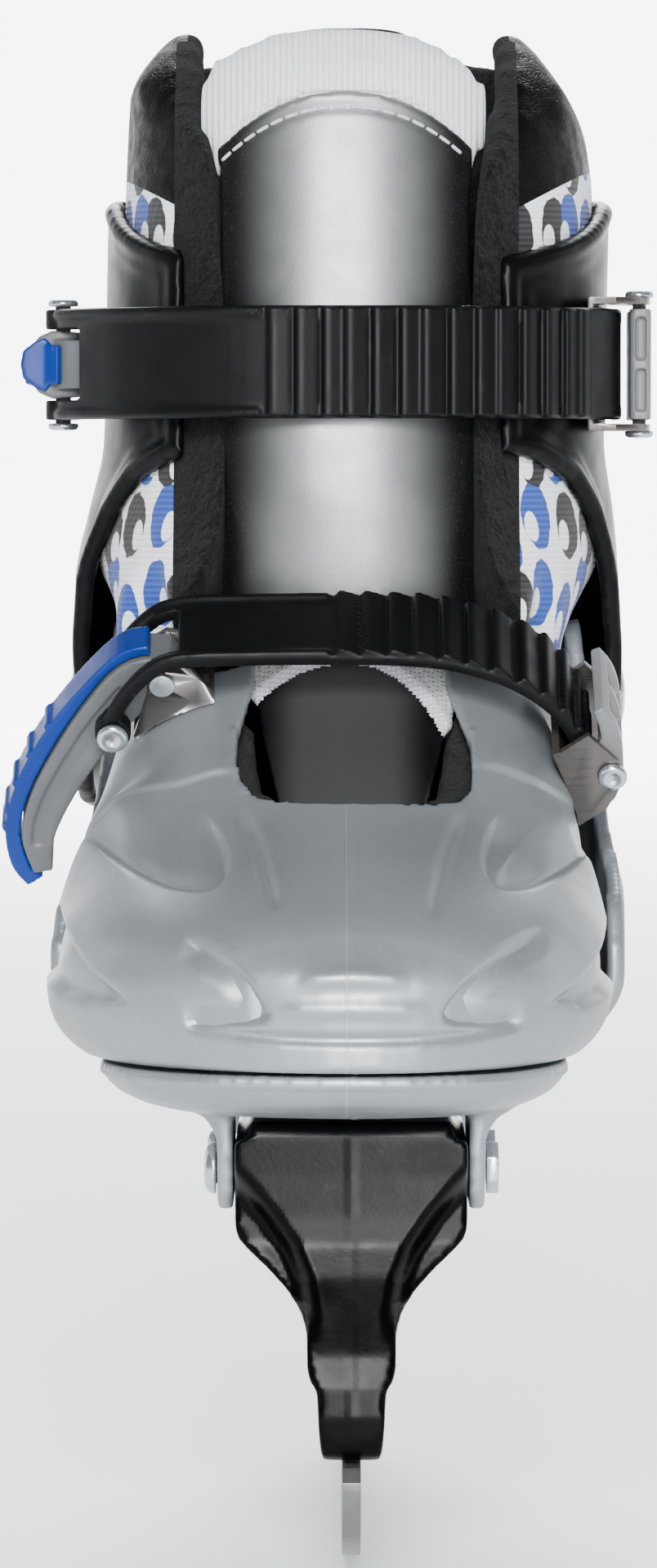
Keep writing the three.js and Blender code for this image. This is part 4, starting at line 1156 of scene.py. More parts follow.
def stuff(obj, voxel):
    """Swells a closed shape as a stuffed one by cloth simulation, then smooths and subdivides it."""
    remesh = obj.modifiers.new("remesh", "REMESH")
    remesh.mode = "VOXEL"
    remesh.voxel_size = voxel * MM
    settle(obj)
    start = points_of(obj)
    scene = bpy.context.scene
    cloth = obj.modifiers.new("cloth", "CLOTH")
    cloth.settings.use_pressure = True
    cloth.settings.uniform_pressure_force = STUFFING_PRESSURE
    cloth.settings.effector_weights.gravity = 0
    cloth.settings.quality = 5
    for step in range(1, 21):
        scene.frame_set(step)
    settle(obj)
    scene.frame_set(1)
    moved = points_of(obj) - start
    length = np.linalg.norm(moved, axis=1)[:, None]
    move_points(obj, start + moved * np.minimum(1, MOST_SWELL / np.maximum(length, 1e-9)))
    soften = obj.modifiers.new("soften", "SMOOTH")
    soften.factor = 0.5
    soften.iterations = 2
    obj.modifiers.new("subdivide", "SUBSURF").levels = 1
    return settle(obj)


def polar(outline, count=128):
    """Radius of a closed outline seen from the middle of the ankle, at even angles."""
    ring = np.concatenate([outline, outline[:1]])
    dense = np.concatenate([np.linspace(p, q, 40, endpoint=False) for p, q in zip(ring[:-1], ring[1:])])
    away = dense - ANKLE_MIDDLE
    angle = np.arctan2(away[:, 1], away[:, 0]) % (2 * math.pi)
    order = np.argsort(angle)
    return np.interp(np.linspace(0, 2 * math.pi, count, endpoint=False), angle[order],
                     np.linalg.norm(away, axis=1)[order], period=2 * math.pi)


def low_outline():
    """Plan of the ankle of the liner inside the rear shell."""
    y = np.concatenate([np.linspace(-14, 90, 40), np.linspace(92, 101.5, 8)])
    right = np.stack([along(half_right, y) - 1.8, y], 1)
    left = np.stack([1.8 - along(half_left, y), y], 1)
    return np.concatenate([right, left[::-1]])


low_radius = polar(low_outline())


def liner_ring(z, inset):
    """Ring of the liner at z: the rear shell's plan at the bottom, and the ankle's section above."""
    high = polar(leg_ring(z, 4.2)[:, :2])
    share = float(smoothstep(174, 200, z))
    radius = low_radius + (high - low_radius) * share - inset
    plan = ANKLE_MIDDLE + radius[:, None] * np.stack(circle(len(radius)), 1)
    return np.column_stack([plan, np.full(len(radius), z)])


liner_side = [
    (-13, 150), (108, 150), (112, 298), (106, 303), (100, 306.5), (92, 309.3), (84, 310.2), (75, 309),
    (67, 305), (60, 302), (54, 301), (48, 302.5), (41, 305.5), (34, 307), (29, 304.5), (18, 297),
    (6, 287), (-6, 281), (-14, 277.5), (-30, 270), (-30, 216), (-30, 196), (-22, 176),
]
liner_front = [
    (-60, 140), (60, 140), (60, 268), (48.5, 279), (46.5, 285), (43, 292), (38.5, 299.5), (34.5, 304.5),
    (31.5, 306.8), (28.6, 304), (26.5, 300), (18, 306), (9, 310), (0, 312), (-9, 310), (-18, 306),
    (-27, 300), (-29.4, 304), (-32.4, 307), (-35.5, 304.5), (-39.5, 299.5), (-44, 292), (-47.5, 285),
    (-49.5, 279), (-60, 268),
]
above_collar = [
    (60, 330), (60, 268), (48.5, 279), (46.5, 285), (43, 291.5), (38.5, 296.5), (34.5, 299.2),
    (31, 300.6), (26.5, 302), (18, 306), (9, 310), (0, 312), (-9, 310), (-18, 306), (-27, 302),
    (-32, 300.6), (-35.5, 299.2), (-39.5, 296.5), (-44, 291.5), (-47.5, 285), (-49.5, 279), (-60, 268),
    (-60, 330),
]
roll_left = [
    (-31.8, -24, 178), (-31.8, -24, 190), (-31.6, -22.5, 200), (-30.6, -18.5, 219), (-29.8, -15, 240),
    (-29.2, -12.5, 258), (-29.8, -8, 271), (-31.2, 0, 282), (-32.4, 12, 292), (-32.6, 26, 300.5),
    (-33.2, 37, 300.5), (-36, 46, 296.5), (-38, 53, 292),
]
roll_right = [
    (31.8, -24, 178), (31.8, -24, 190), (31.4, -22.5, 200), (29.9, -18.5, 219), (28, -15, 240),
    (27.4, -12.5, 258), (28.2, -8, 271), (30, 0, 282), (31.6, 12, 292), (32, 26, 300.5),
    (32.6, 37, 300.5), (35.4, 46, 296.5), (37.4, 53, 292),
]
low_roll = [
    (18.2, -66, 142), (19, -58, 147.5), (20.4, -50, 153), (22.6, -41, 160), (25.8, -32.5, 168),
    (29.2, -26, 176), (31.6, -24, 184), (31.8, -24, 190),
]
LOW_ROLL = 3.7
ROLL = 4.6
LINER_FLOOR = 107.8
liner_window = [(-27.5, 140), (26.5, 140), (25, 216), (25, 320), (-26, 320), (-26, 216)]
liner_throat = [
    (-15.5, 20), (-17.5, -30), (-16.5, -60), (-10, -70), (0, -72.5), (10, -70), (16.5, -60),
    (17.5, -30), (15.5, 20),
]
foot_side = [(-130, 100), (-130, 190), (-60, 152), (-34, 162), (105, 162), (105, 100)]

# Seams of the liner: the fleece strip at the front lies between two of them and before a third,
# and the collar starts above two that rise away from the middle.
STRIP_LEFT = -35.6
STRIP_RIGHT = 34.2
STRIP_BACK = 24
COLLAR_X = 34
COLLAR_Z = 266
COLLAR_SLOPE = (0.48, 0.88)
FLEECE_BELOW = 150
liner_seams = [((STRIP_LEFT, 0, 240), (1, 0, 0)),
               ((STRIP_RIGHT, 0, 240), (1, 0, 0)),
               ((0, STRIP_BACK, 240), (0, 1, 0)),
               ((-COLLAR_X, 0, COLLAR_Z), (COLLAR_SLOPE[0], 0, COLLAR_SLOPE[1])),
               ((COLLAR_X, 0, COLLAR_Z), (-COLLAR_SLOPE[0], 0, COLLAR_SLOPE[1]))]


def foot_ring(y, extra):
    """Ring of the liner's foot at y, narrow enough at the front for every place of the toe shell."""
    narrow = (0, 0)
    if y < -10:
        narrow = [min(float(along(half, y + SIZE_TRAVEL)) - float(along(half, y)), 0)
                  for half in (half_left, half_right)]
    return boot_ring(y, WALL + 1.6 + extra, LINER_FLOOR + 0.5 + extra * 0.4, narrow)


def foot_of_liner():
    stations = np.concatenate([[-111.5, -110, -107], np.linspace(-103, 88, 36), [92, 95, 97, 98.4]])
    insets = [12, 5] + [0] * (len(stations) - 2)
    foot = loft("foot", [foot_ring(y, extra) for y, extra in zip(stations, insets)])
    inner = loft("hollow", [foot_ring(y, 6) for y in stations[3:-2]])
    throat = prism("throat", liner_throat, 128, 240, from_top)
    combine(foot, [inner, throat, cuboid("latch_room", -60, -34, -43, 43, 106, 122)])
    return trim(foot, foot_side)


def stay_inside(points, inset, low):
    """Keeps points above height low within the ankle's section, moved in by inset."""
    x, y, z = points.T
    front, back = along(leg_front, z) + inset, along(leg_back, z) - inset
    half = np.where(x > 0, along(leg_right, z), along(leg_left, z)) - inset
    middle, depth = (front + back) / 2, (back - front) / 2
    size = (np.abs(x / half)**LEG_POWER + np.abs((y - middle) / depth)**LEG_POWER)**(1 / LEG_POWER)
    share = np.where((z > low) & (size > 1), 1 / size, 1)
    return np.stack([x * share, middle + (y - middle) * share, z], 1)


def under_shell(points):
    """Keeps the front of the liner below the inner face of the toe shell, beside its throat."""
    x, y, z = points.T
    limit = np.full(len(points), 999.0)
    for i in np.nonzero((y < -14) & (y > -136) & (z > 120) & (z < 175))[0]:
        half = float(along(half_right if x[i] > 0 else half_left, y[i])) - WALL - 0.7
        top = float(along(crown, y[i])) - WALL - 0.7
        power = float(along(roundness, y[i]))
        if inside(points[i:i + 1, :2], throat_cut)[0] > 1.2:
            continue
        share = min(abs(x[i]) / half, 1)
        limit[i] = BULGE_Z + (top - BULGE_Z) * (1 - share**power)**(1 / power)
    return np.stack([x, y, np.minimum(z, limit)], 1)


def cut_faces(obj, place, normal):
    """Splits the faces of an object along a plane."""
    mesh = bmesh.new()
    mesh.from_mesh(obj.data)
    everything = mesh.verts[:] + mesh.edges[:] + mesh.faces[:]
    bmesh.ops.bisect_plane(mesh, geom=everything, plane_co=Vector(place) * MM, plane_no=normal, dist=1e-6)
    mesh.to_mesh(obj.data)
    mesh.free()


def paint(obj, looks, choose):
    """Gives each face one of the looks: choose turns face centres and normals into their numbers."""
    obj.data.materials.clear()
    for look in looks:
        obj.data.materials.append(look.material)
    faces = obj.data.polygons
    kind = choose(rows_of(faces, "center") / MM, rows_of(faces, "normal"))
    faces.foreach_set("material_index", kind.astype(np.int32))


def liner_cloth(points, normals):
    """0 for the fleece inside and at the front, 1 for the print, 2 for the collar."""
    x, y, z = points.T
    strip = (y < STRIP_BACK) & (x > STRIP_LEFT) & (x < STRIP_RIGHT)
    collar = (z - COLLAR_Z) * COLLAR_SLOPE[1] > (np.abs(x) - COLLAR_X) * COLLAR_SLOPE[0]
    covered = (facing(points, normals, ANKLE_MIDDLE) > 0.1) & ~strip & (z > FLEECE_BELOW)
    return np.where(covered, np.where(collar, 2, 1), 0)


def liner():
    heights = np.arange(148, 314, 4.0)
    soft = loft("liner_sewn", [liner_ring(z, 0) for z in heights])
    inner = loft("hollow", [liner_ring(z, 8.4) for z in np.concatenate([[140], heights, [318]])])
    combine(soft, [inner, prism("window", liner_window, -60, 20, from_front)])
    trim(soft, liner_side)
    trim(soft, liner_front, -60, 130, from_front)
    combine(soft, [prism("above", above_collar, 49, 130, from_front)])
    low_rolls = [np.array(low_roll) * (way, 1, 1) for way in (-1, 1)]
    rolls = [tube("roll", curve_through(line, 6), ROLL, 16) for line in (roll_left, roll_right)]
    rolls += [tube("roll", curve_through(line, 6), LOW_ROLL, 16) for line in low_rolls]
    combine(soft, [foot_of_liner(), *rolls], "UNION")
    combine(soft, rod_pair("rivet_room", PIVOT_Y, PIVOT_Z, 7.5, 37.5, 70))
    stuff(soft, 3.8)
    smooth(soft, 6)
    move_points(soft, under_shell(stay_inside(points_of(soft), 3.5, 188)))
    for place, normal in liner_seams:
        cut_faces(soft, place, normal)
    paint(soft, (FLEECE, PRINTED, LEATHERETTE), liner_cloth)
    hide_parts("liner_foot", "liner_ankle")
    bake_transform(soft)
    return soft


tongue_front = [
    (176, -25.4), (186, -25.6), (196, -26.3), (206, -26.6), (216, -25.8), (228, -24.2), (245, -21.7),
    (268, -18.7), (290, -15.6), (304, -12.5),
]
tongue_half = [(176, 25.5), (200, 28.2), (220, 27.8), (240, 25.8), (262, 25.2), (288, 26.5)]
TONGUE_X = -0.9


def tongue_point(x, z, back):
    """A point on the tongue, back millimetres behind its face."""
    bend = 10.5 * np.abs((x - TONGUE_X) / 27)**2.4
    return np.stack([x, along(tongue_front, z) + bend + back, z], -1)


def skin(name, grid, thickness):
    """A closed sheet from a grid of points, thickness behind its front face along +Y."""
    rows, columns = grid.shape[:2]
    front = grid.reshape(-1, 3)
    back = front + [0, thickness, 0]
    points = np.concatenate([front, back])
    count = len(front)
    faces = []
    for r in range(rows - 1):
        for c in range(columns - 1):
            a = r * columns + c
            quad = (a, a + 1, a + columns + 1, a + columns)
            faces.append(quad)
            faces.append(tuple(i + count for i in quad[::-1]))
    number = np.arange(count).reshape(rows, columns)
    rim = [*number[0], *number[1:, -1], *number[-1, -2::-1], *number[-2:0:-1, 0]]
    for a, b in zip(rim, rim[1:] + rim[:1]):
        faces.append((b, a, a + count, b + count))
    return solid(name, points, faces)


SHIELD_FOOT = 178
SEAM_DOWN = 3.2


def shield_top(x):
    """Height of the shield's rounded top edge at x."""
    return 289.2 - 11.5 * np.abs((x - TONGUE_X) / 26)**2.2


def tongue_shield():
    across = np.linspace(-1, 1, 61)
    rows = []
    for share in np.linspace(0, 1, 90):
        x = TONGUE_X + across * along(tongue_half, SHIELD_FOOT + share * 100)
        z = SHIELD_FOOT + share * (shield_top(x) - SHIELD_FOOT)
        rows.append(tongue_point(x, z, 0))
    obj = skin("tongue_shield_sheet", np.array(rows), 1.5)
    remould(obj, 0.7, 3)
    x, y, z = points_of(obj).T
    press = 0.35 * hill(z - shield_top(x) + SEAM_DOWN, 1.1)
    crease = 0.12 * np.sin(z / 11.0 + 0.6 * np.sin(x / 7)) * smoothstep(14, 24, np.abs(x))
    move_points(obj, np.stack([x, y + press + crease, z], 1))
    piece(obj, SHIELD, None, ["tongue_shield"])
    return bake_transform(obj)


pad_half = [
    (183, 21), (188, 23), (200, 24.5), (262, 24.5), (270, 26.4), (279, 29.2), (286, 30), (290.5, 29.6),
    (294.5, 28), (298.4, 24.6), (301.6, 18.8), (303.5, 12), (304.4, 5),
]


def tongue_pad():
    c, s = circle(48)
    dome_heights = [290.5, 292.5, 294.5, 296.5, 298.4, 300, 301.6, 302.7, 303.5, 304, 304.4]
    rings = []
    for z in np.concatenate([[183, 185], np.arange(190, 290, 5), dome_heights]):
        middle = TONGUE_X - 0.6 * float(smoothstep(270, 285, z))
        x = middle + float(along(pad_half, z)) * np.sign(c) * np.abs(c)**0.7
        dome = float(smoothstep(286, 306, z))
        thick = 7.8 * math.sqrt(max(1 - dome**2, 0.35))
        back = 5.3 + 0.6 * dome - 1.6 * float(smoothstep(278, 288, z))
        ring = tongue_point(x, np.full_like(x, z), back)
        ring[:, 1] += thick / 2 * s
        rings.append(ring)
    obj = loft("tongue_pad_soft", rings)
    stuff(obj, 2.7)
    smooth(obj, 8)
    points = points_of(obj)
    limit = tongue_point(points[:, 0], points[:, 2], 1.9)[:, 1]
    under = points[:, 2] < shield_top(points[:, 0]) + 1
    points[:, 1] = np.where(under, np.maximum(points[:, 1], limit), points[:, 1])
    move_points(obj, points)
    piece(obj, WHITE_KNIT, None, ["tongue_pad"])
    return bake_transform(obj)


low_path = [
    (-73, 146.0), (-68, 150.6), (-60, 156.2), (-52, 161.4), (-45, 166.2), (-37, 172), (-31, 177),
    (-27, 181.5), (-25.2, 187),
]
low_half = [(146, 13.5), (156, 16), (164, 18), (176, 20), (187, 21)]


mesh_arc = [
    (-22, 160), (-18.5, 166.5), (-12.5, 171.5), (-5, 174.2), (1.5, 174.5), (8, 172.5), (14, 167.5),
    (19.5, 159),
]


def above_arc(points):
    """Distance of points above the arc where the mesh is sewn to the lower tongue."""
    return signed_distance(points[:, [0, 2]], curve_through(mesh_arc))[0]


def tongue_cloth(points, normals):
    """0 for the dark sheet, 1 for the mesh, 2 for the ribbed edge between them."""
    distance = above_arc(points)
    return np.where(distance > 1.9, 1, np.where(distance > -0.2, 2, 0))


def tongue_low():
    """The lower tongue: a dark sheet with a mesh edge sewn round its top."""
    line = curve_through(low_path, 8)
    across = np.linspace(-1, 1, 49)
    rows = []
    for y, z in line:
        x = across * float(along(low_half, z)) + 0.6
        drop = 3.4 * np.abs(across)**2.4
        rows.append(np.stack([x, y + 0.45 * drop, z - 0.8 * drop], 1))
    obj = skin("tongue_lower_sewn", np.array(rows), 4.0)
    remould(obj, 0.7, 4)
    distance = above_arc(points_of(obj))
    trim = 1.1 * hill(distance - 0.9, 1.0) + 1.2 * smoothstep(0, 3, distance)
    shift(obj, np.where(normals_of(obj)[:, 1] < 0.2, trim, 0))
    paint(obj, (DARK_SHEET, GREY_MESH, WHITE_RIB), tongue_cloth)
    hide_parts("tongue_lower")
    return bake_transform(obj)


STITCH_PITCH = 3.3
STITCH_LENGTH = 2.5
THREAD_RADIUS = 0.36


def joined(name, parts):
    """One object from several that don't touch."""
    points = []
    faces = []
    count = 0
    for part in parts:
        faces += [tuple(i + count for i in face.vertices) for face in part.data.polygons]
        points.append(points_of(part))
        count += len(points[-1])
        bpy.data.objects.remove(part)
    return make(name, np.concatenate(points), faces)


def stitches(name, line):
    """Separate stitches along a line of (x, y, z) points, each dipping into the cloth at its ends."""
    made = []
    lift = (1.1 * np.sin(np.linspace(0, math.pi, 7)) - 0.6) * THREAD_RADIUS
    for start in np.arange(0.6, run_of(line)[-1] - STITCH_LENGTH, STITCH_PITCH):
        points = spaced(np.linspace(start, start + STITCH_LENGTH, 7), line)
        points[:, 1] -= lift
        made.append(tube("stitch", points, THREAD_RADIUS, 8))
    return joined(name, made)


def shield_seam():
    x = TONGUE_X + np.linspace(-25.2, 25.2, 90)
    thread_line = stitches("tongue_stitches", tongue_point(x, shield_top(x) - SEAM_DOWN, 0.25))
    dress(thread_line, THREAD)
    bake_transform(thread_line)


cuff()
liner()
tongue_shield()
tongue_pad()
tongue_low()
shield_seam()

# ---------------------------------------------------------------- buckles

STRAP_HALF = 11.3
FORK_FROM = 7.3
LEVER_HALF = 5.0
TOOTH_PITCH = 5.1
BAND_TOP = 1.25
LEVER_HOLE = 1.9
strap_section = [
    (-1.15, -10.9), (-1.3, -10.2), (-1.3, 10.2), (-1.15, 10.9), (-0.7, 11.3), (0.9, 11.3), (1.75, 11.0),
    (2.05, 10.3), (1.9, 9.6), (1.3, 8.9), (1.15, 8), (1.15, -8), (1.3, -8.9), (1.9, -9.6),
    (2.05, -10.3), (1.75, -11.0), (0.9, -11.3), (-0.7, -11.3),
]
tooth_section = [(-2.2, 0.6), (2.25, 0.6), (2.1, 1.5), (-0.9, 2.5), (-2.0, 2.5), (-2.3, 2.1)]
grip_section = [(-1.5, 1.2), (1.5, 1.2), (1.2, 2.7), (-0.4, 2.7)]

# Outlines of the buckles are (a, b) points in the plane across their pins: a along +X, b outwards.
# A third number is half the thickness there. Crest and jewel are (a, w) outlines, w along the pins.

buckles = {
    "upper": {
        "place": UPPER,
        "levered": "cuff_and_liner",
        "lever_pin": (-50.8, -9),
        "strap_pin": (-58.8, -15),
        "lever": [
            (-50, -6.8, 1.6), (-51.8, -9, 3.2), (-56.5, -12.5, 4.4), (-59.6, -20, 4), (-60.6, -34, 3.2),
            (-60.2, -50, 2.6), (-58, -62, 1.6),
        ],
        "inlay": [(-58.4, -8.6), (-62.6, -13.5), (-64.2, -22), (-64.4, -34), (-63.4, -49)],
        "strap": [
            (-58.8, -17), (-58.6, -10), (-56, -4), (-51, 4), (-44, 12.5), (-34, 20.5), (-20, 26.3),
            (0, 28.4), (20, 26.3), (34, 20.5), (44, 12), (50, 4), (53.2, -3), (54.4, -9), (54.4, -16),
        ],
        "slot_to": -55,
        "teeth": (68, 138),
        "thumb_pin": (59.2, -7),
        "thumb": [
            (58.4, -5.6, 1.4), (59.2, -7, 2.2), (60, -13, 1.9), (59.6, -24, 1.5), (58.4, -32, 0.9),
        ],
        "nose": [(57.1, -11), (57.2, -14.6), (59.4, -16), (59.4, -9)],
        "block": [(57.3, -10), (57.3, -4.4), (58.0, -3.4), (60.6, -3.4), (61.4, -4.2), (61.6, -11)],
        "pocket": [(58.3, -5.0), (58.3, 0), (60.5, 0), (60.5, -5.0)],
        "crest": [
            (-54.9, -6.6), (-60.9, -7), (-63.6, -5.8), (-66, -2.8), (-66, 2.8), (-63.6, 5.8),
            (-60.9, 7), (-54.9, 6.6),
        ],
        "crest_depth": (-15.5, -10.5),
        "jewel": [
            (-62.4, -5.6), (-64.6, -4.6), (-66.9, -2.8), (-67.4, 0), (-66.9, 2.8), (-64.6, 4.6),
            (-62.4, 5.6), (-60.6, 3.6), (-59.8, 0), (-60.6, -3.6),
        ],
        "grips": (0.5, 0.64, 0.78),
    },
    "instep": {
        "place": INSTEP,
        "levered": "toe",
        "lever_pin": (-37.2, -9.2),
        "strap_pin": (-47, -18.9),
        "lever": [
            (-34.6, -7.4, 2.2), (-36.8, -8.6, 3.8), (-42.4, -11.4, 5.2), (-48.9, -19.4, 4.9),
            (-55, -29, 4.4), (-60, -39, 4), (-62.6, -48, 3.3), (-61.8, -56.5, 2),
        ],
        "inlay": [
            (-39.5, -4.6), (-45, -6.4), (-52.5, -14.8), (-59.5, -25), (-64.8, -36), (-67.2, -46),
            (-66.4, -54.5), (-63.4, -59.4),
        ],
        "strap": [
            (-47.4, -21), (-46, -14), (-41, -6.5), (-34.5, -2.4), (-20, -1.6), (0, -1.4), (16, -2.2),
            (28, -5.4), (36, -9.8), (41.6, -15.2), (44.8, -21.5), (46, -28), (46.2, -36),
        ],
        "slot_to": -34,
        "teeth": (58, 122),
        "thumb_pin": (52, -27),
        "thumb": [
            (53.6, -31.5, 1.2), (52, -27, 2.2), (51.9, -22, 2.1), (50.9, -17, 1.7), (48.9, -13, 1),
        ],
        "nose": [(49.1, -21.4), (50.2, -17.5), (52.5, -17.5), (52.5, -25)],
        "block": [(50, -25), (50.4, -21), (53.4, -20), (54.2, -25)],
        "grips": (0.42, 0.5, 0.58, 0.66, 0.74),
    },
}


def bar(name, outline, half, plan):
    """A bar with an (a, b) outline, half millimetres to each side of the buckle's middle."""
    return prism(name, outline, -half, half, plan["place"])


def pin_rod(name, plan, pin, radius, low=-20, high=20):
    """A rod along one of the buckle's pins."""
    start, end = plan["place"]([(*plan[pin], low), (*plan[pin], high)])
    return rod(name, start, end, radius)


def strap(name, plan):
    place = plan["place"]
    path = curve_through(plan["strap"], 5)
    run = np.linspace(0, run_of(path)[-1], 150)
    path = spaced(run, path)
    way = unit(np.gradient(path, axis=0))
    out = np.stack([-way[:, 1], way[:, 0]], 1)
    teeth_from, teeth_to = plan["teeth"]
    rings = []
    for point, side, here in zip(path, out, run):
        top = BAND_TOP if here > teeth_from - 3.2 else math.inf
        rings.append(place([(*(point + side * min(up, top)), w) for up, w in strap_section]))
    band = loft(name, rings)
    end = plan["slot_to"]
    fork = [(-90, -60), (end - 3, -60), (end, -57), (end, 37), (end - 3, 40), (-90, 40)]
    combine(band, [bar("fork", fork, FORK_FROM, plan)])
    sides = ((-STRAP_HALF, -FORK_FROM), (FORK_FROM, STRAP_HALF))
    combine(band, [pin_rod("eye", plan, "strap_pin", 3.6, low, high) for low, high in sides], "UNION")
    teeth = []
    for start in np.arange(teeth_from, teeth_to, TOOTH_PITCH):
        i = int(np.searchsorted(run, start))
        teeth.append(bar("tooth", [path[i] + way[i] * a + out[i] * b for a, b in tooth_section], 10.9, plan))
    combine(band, teeth, "UNION")
    combine(band, [pin_rod("hole", plan, "strap_pin", 1.8)])
    return remould(band, 0.42, 3, 0.4)


def rivet_pin(name, plan, pin, reach, shank, head):
    """A pin with a domed, dimpled head at each end."""
    start, end = plan["place"]([(*plan[pin], -1), (*plan[pin], 1)])
    profile = [(0.3, 0.55 - reach), (0.9, 0.5 - reach), (1.2, 0.05 - reach), (head - 0.9, -reach),
               (head - 0.25, 0.25 - reach), (head, 0.7 - reach), (head, 1.35 - reach), (shank, 1.45 - reach)]
    return turned(name, both_ends(profile), (start + end) / 2, end - start)


def both_ends(profile):
    """A (radius, height) profile with the same shape at its other end."""
    return profile + [(radius, -height) for radius, height in profile[::-1]]


def seen_from_front(plan):
    """Turns the (a, w) rows of an outline and their b, outwards, into points."""
    return lambda rows: plan["place"]([(a, b, w) for a, w, b in rows])


def lever(name, plan):
    path = curve_through(plan["lever"], 4)
    arm = bar(name, ribbon(path), LEVER_HALF, plan)
    combine(arm, [pin_rod("hole", plan, pin, LEVER_HOLE) for pin in ("lever_pin", "strap_pin")])
    if "crest" in plan:
        combine(arm, [prism("crest", plan["crest"], *plan["crest_depth"], seen_from_front(plan))], "UNION")
    shallow = ribbon(path[len(path) // 3:-3] * [1, 1, 0.42])
    for low, high in ((-LEVER_HALF - 1, -LEVER_HALF + 0.7), (LEVER_HALF - 0.7, LEVER_HALF + 1)):
        combine(arm, [prism("panel", shallow, low, high, plan["place"])])
    return remould(arm, 0.4, 4, 0.45)


def inlay(name, plan):
    path = curve_through(plan["inlay"], 5)
    strip = bar(name, ribbon(np.column_stack([path, np.full(len(path), 2.0)])), LEVER_HALF - 1, plan)
    grips = []
    for share in plan["grips"]:
        i = int(share * (len(path) - 1))
        way = unit(path[i + 1] - path[i - 1])
        out = -np.sign(way[1]) * np.array([way[1], -way[0]])
        grips.append(bar("grip", [path[i] + way * a + out * b for a, b in grip_section], 3.7, plan))
    combine(strip, grips, "UNION")
    combine(strip, [bar("room", ribbon(curve_through(plan["lever"], 4), 0.3), 9, plan)])
    if "jewel" in plan:
        combine(strip, [prism("jewel", plan["jewel"], -15.5, -9.6, seen_from_front(plan))], "UNION")
    return remould(strip, 0.35, 4, 0.45)


def thumb(name, plan):
    place = plan["place"]
    path = curve_through(plan["thumb"], 5)
    plate = bar(name, ribbon(path), STRAP_HALF, plan)
    combine(plate, [bar("nose", plan["nose"], 11, plan)], "UNION")
    combine(plate, [bar("block", plan["block"], STRAP_HALF, plan)], "UNION")
    if "pocket" in plan:
        for low, high in ((-9.6, -0.9), (0.9, 9.6)):
            combine(plate, [prism("pocket", plan["pocket"], low, high, place)])
    dent = ribbon(path[len(path) // 2:-2] * [1, 1, 0.9] + [2.2, 0, 0])
    combine(plate, [prism("dent", dent, low, high, place) for low, high in ((-8.6, -1.2), (1.2, 8.6))])
    combine(plate, [pin_rod("hole", plan, "thumb_pin", 1.6)])
    return remould(plate, 0.38, 3, 0.45)


for name, plan in buckles.items():
    band = strap(f"{name}_strap_moulded", plan)
    piece(band, STRAP_BLACK, f"{name}_band", [f"{name}_strap"])
    pin = rivet_pin(f"{name}_strap_rivet", plan, "strap_pin", 13.4, 1.6, 3.1)
    piece(pin, ZINC, f"{name}_band", [f"{name}_strap_pin"])
    pin = rivet_pin(f"{name}_ratchet_rivet", plan, "thumb_pin", 15.0, 1.4, 2.9)
    piece(pin, ZINC, plan["levered"], [f"{name}_ratchet_pin"])
    arm = lever(f"{name}_lever_moulded", plan)
    piece(arm, LEVER_GREY, f"{name}_lever_arm", [f"{name}_lever"])
    strip = inlay(f"{name}_inlay_moulded", plan)
    piece(strip, BLUE, f"{name}_lever_arm", [f"{name}_lever_inlay"])
    plate = thumb(f"{name}_thumb_moulded", plan)
    piece(plate, THUMB_GREY, f"{name}_thumb", [f"{name}_ratchet_lever"])

# ---------------------------------------------------------------- rivets and bolts

BOLT_SEAT = FLANGE_OUTER + 0.3
bolt_profile = [
    (0.4, 0.5), (2.1, 0.6), (2.4, 1.9), (3.4, 2.2), (4.4, 1.7), (5, 0.7), (5, 0.1), (4.8, 0), (3, 0),
]
rivet_end = [
    (0.3, 7.5), (1.0, 7.5), (1.3, 8.1), (2.3, 8.2), (2.9, 7.9), (3.1, 7.3), (3.1, 6.7), (2, 6.6),
]
dome_shank = [(0, 39), (4.6, 39), (5, 39.4), (5, 40.7), (3.7, 41)]
dome_head = [
    (3.6, -0.9), (7.0, -0.8), (7.1, -0.2), (6.6, 0.6), (5.2, 1.4), (3.2, 1.85), (1.6, 1.95), (1.2, 1.6),
    (0.4, 1.5),
]

for side, way, seat in (("left", -1, 56.5), ("right", 1, 56.0)):
    profile = dome_shank + [(radius, seat + height) for radius, height in dome_head]
    rivet = turned(f"cuff_rivet_{side}_domed", profile, (0, PIVOT_Y, PIVOT_Z), (way, 0, 0), 56)
    piece(rivet, ZINC, "chassis", [f"cuff_rivet_{side}"])
for number, y in zip(BOLT_NAMES, FRAME_BOLT_Y):
    profile = [(radius, BOLT_SEAT + height) for radius, height in bolt_profile] + [(3, 1 - BOLT_SEAT)]
    bolt = turned(f"frame_bolt_{number}_turned", profile, (0, y, FRAME_BOLT_Z), (-1, 0, 0))
    piece(bolt, ZINC, "chassis", [f"frame_bolt_{number}"])
for end, y in zip(("front", "rear"), HOLDER_RIVET_Y):
    rivet = turned(f"holder_rivet_{end}_turned", both_ends(rivet_end), (0, y, HOLDER_RIVET_Z), (1, 0, 0))
    piece(rivet, ZINC, "chassis", [f"holder_rivet_{end}"])

# ---------------------------------------------------------------- rest of the scene

def softbox(name, place, aim, size, power):
    light = bpy.data.lights.new(name, "AREA")
    light.shape = "RECTANGLE"
    light.size, light.size_y = size
    light.energy = power
    obj = bpy.data.objects.new(name, light)
    obj.location = place
    obj.rotation_euler = (Vector(aim) - Vector(place)).to_track_quat("-Z", "Y").to_euler()
    bpy.context.scene.collection.objects.link(obj)


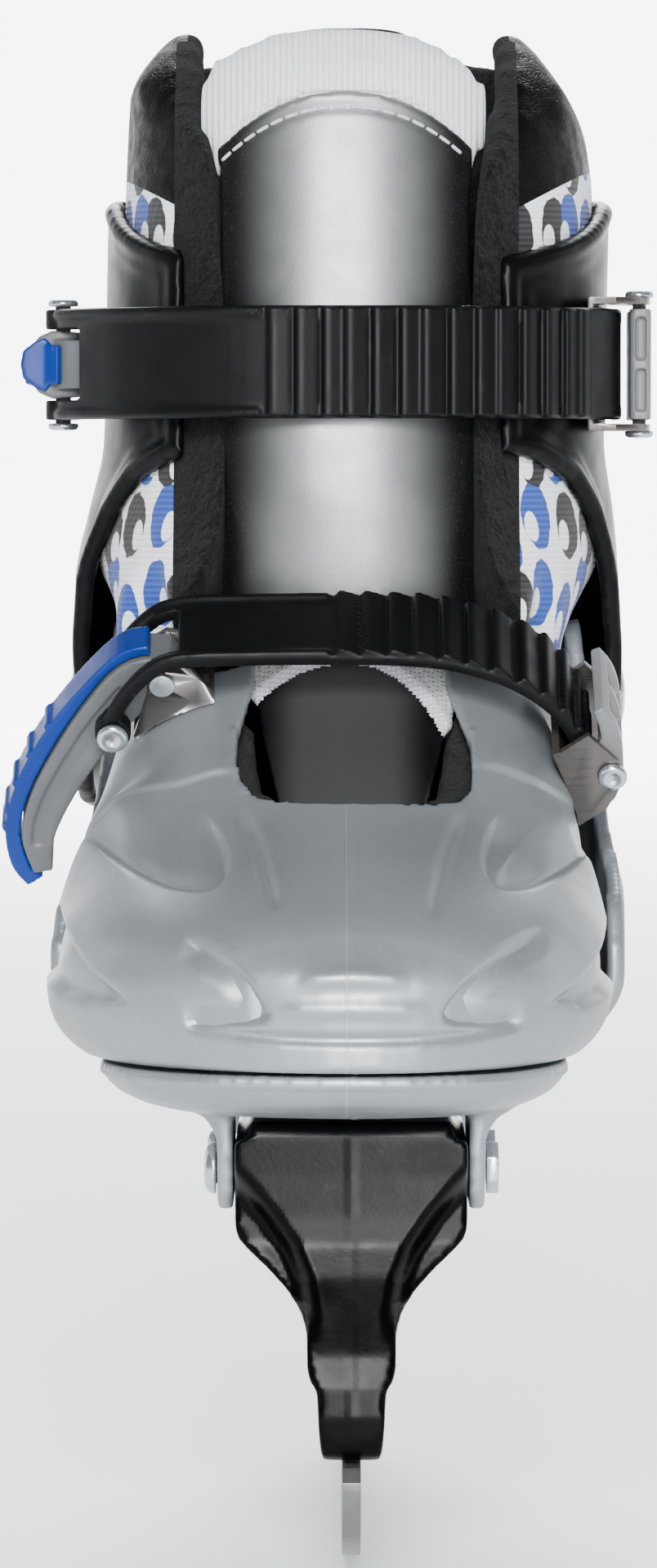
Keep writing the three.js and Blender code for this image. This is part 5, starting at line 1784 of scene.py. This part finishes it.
def backdrop():
    """A pale floor that curves up into a wall behind the skate."""
    reach, back, bend, top = 8000, 5600, 1200, 5000
    profile = [(-reach, 0), (back, 0)]
    for t in np.linspace(0, math.pi / 2, 16)[1:]:
        profile.append((back + bend * math.sin(t), bend * (1 - math.cos(t))))
    profile.append((back + bend, top))
    points = [(x, y, z) for y, z in profile for x in (-reach, reach)]
    faces = [(2 * i, 2 * i + 1, 2 * i + 3, 2 * i + 2) for i in range(len(profile) - 1)]
    floor = make("floor", points, faces)
    look = Look("pale floor", (0.88, 0.88, 0.89), 0.6)
    look.color(look.mix(look.noise(3, 2), (0.87, 0.87, 0.88), (0.90, 0.90, 0.905)))
    look.shader.inputs["Emission Color"].default_value = (1, 1, 1, 1)
    look.shader.inputs["Emission Strength"].default_value = 0.5
    floor.data.materials.append(look.material)


def camera():
    """A long lens in front of the skate that looks slightly down."""
    data = bpy.data.cameras.new("camera")
    data.lens = 168.75
    data.sensor_fit = "VERTICAL"
    data.sensor_height = 36
    data.clip_end = 20
    obj = bpy.data.objects.new("camera", data)
    rise = math.radians(2.4)
    aim = Vector((-4.3, 0, 149)) * MM
    obj.location = aim + 1.5 * Vector((0, -math.cos(rise), math.sin(rise)))
    obj.rotation_euler = (aim - obj.location).to_track_quat("-Z", "Y").to_euler()
    bpy.context.scene.collection.objects.link(obj)
    bpy.context.scene.camera = obj


world = bpy.data.worlds.new("studio")
world.use_nodes = True
world.node_tree.nodes["Background"].inputs["Color"].default_value = (0.95, 0.97, 1.0, 1)
world.node_tree.nodes["Background"].inputs["Strength"].default_value = 0.16
bpy.context.scene.world = world
softbox("key", (-0.1, -1.85, 0.95), (0, 0, 0.14), (0.5, 0.5), 54)
softbox("face", (0.2, -2.2, 0.3), (0, 0, 0.17), (0.4, 0.8), 38)
softbox("left", (-1.2, 0.5, 0.6), (0, 0, 0.17), (0.25, 1.0), 3)
softbox("right", (1.2, 0.5, 0.6), (0, 0, 0.17), (0.25, 1.0), 3)
softbox("wall", (0, 4.2, 3.2), (0, 5.6, 0), (2.4, 2.4), 900)
backdrop()
camera()
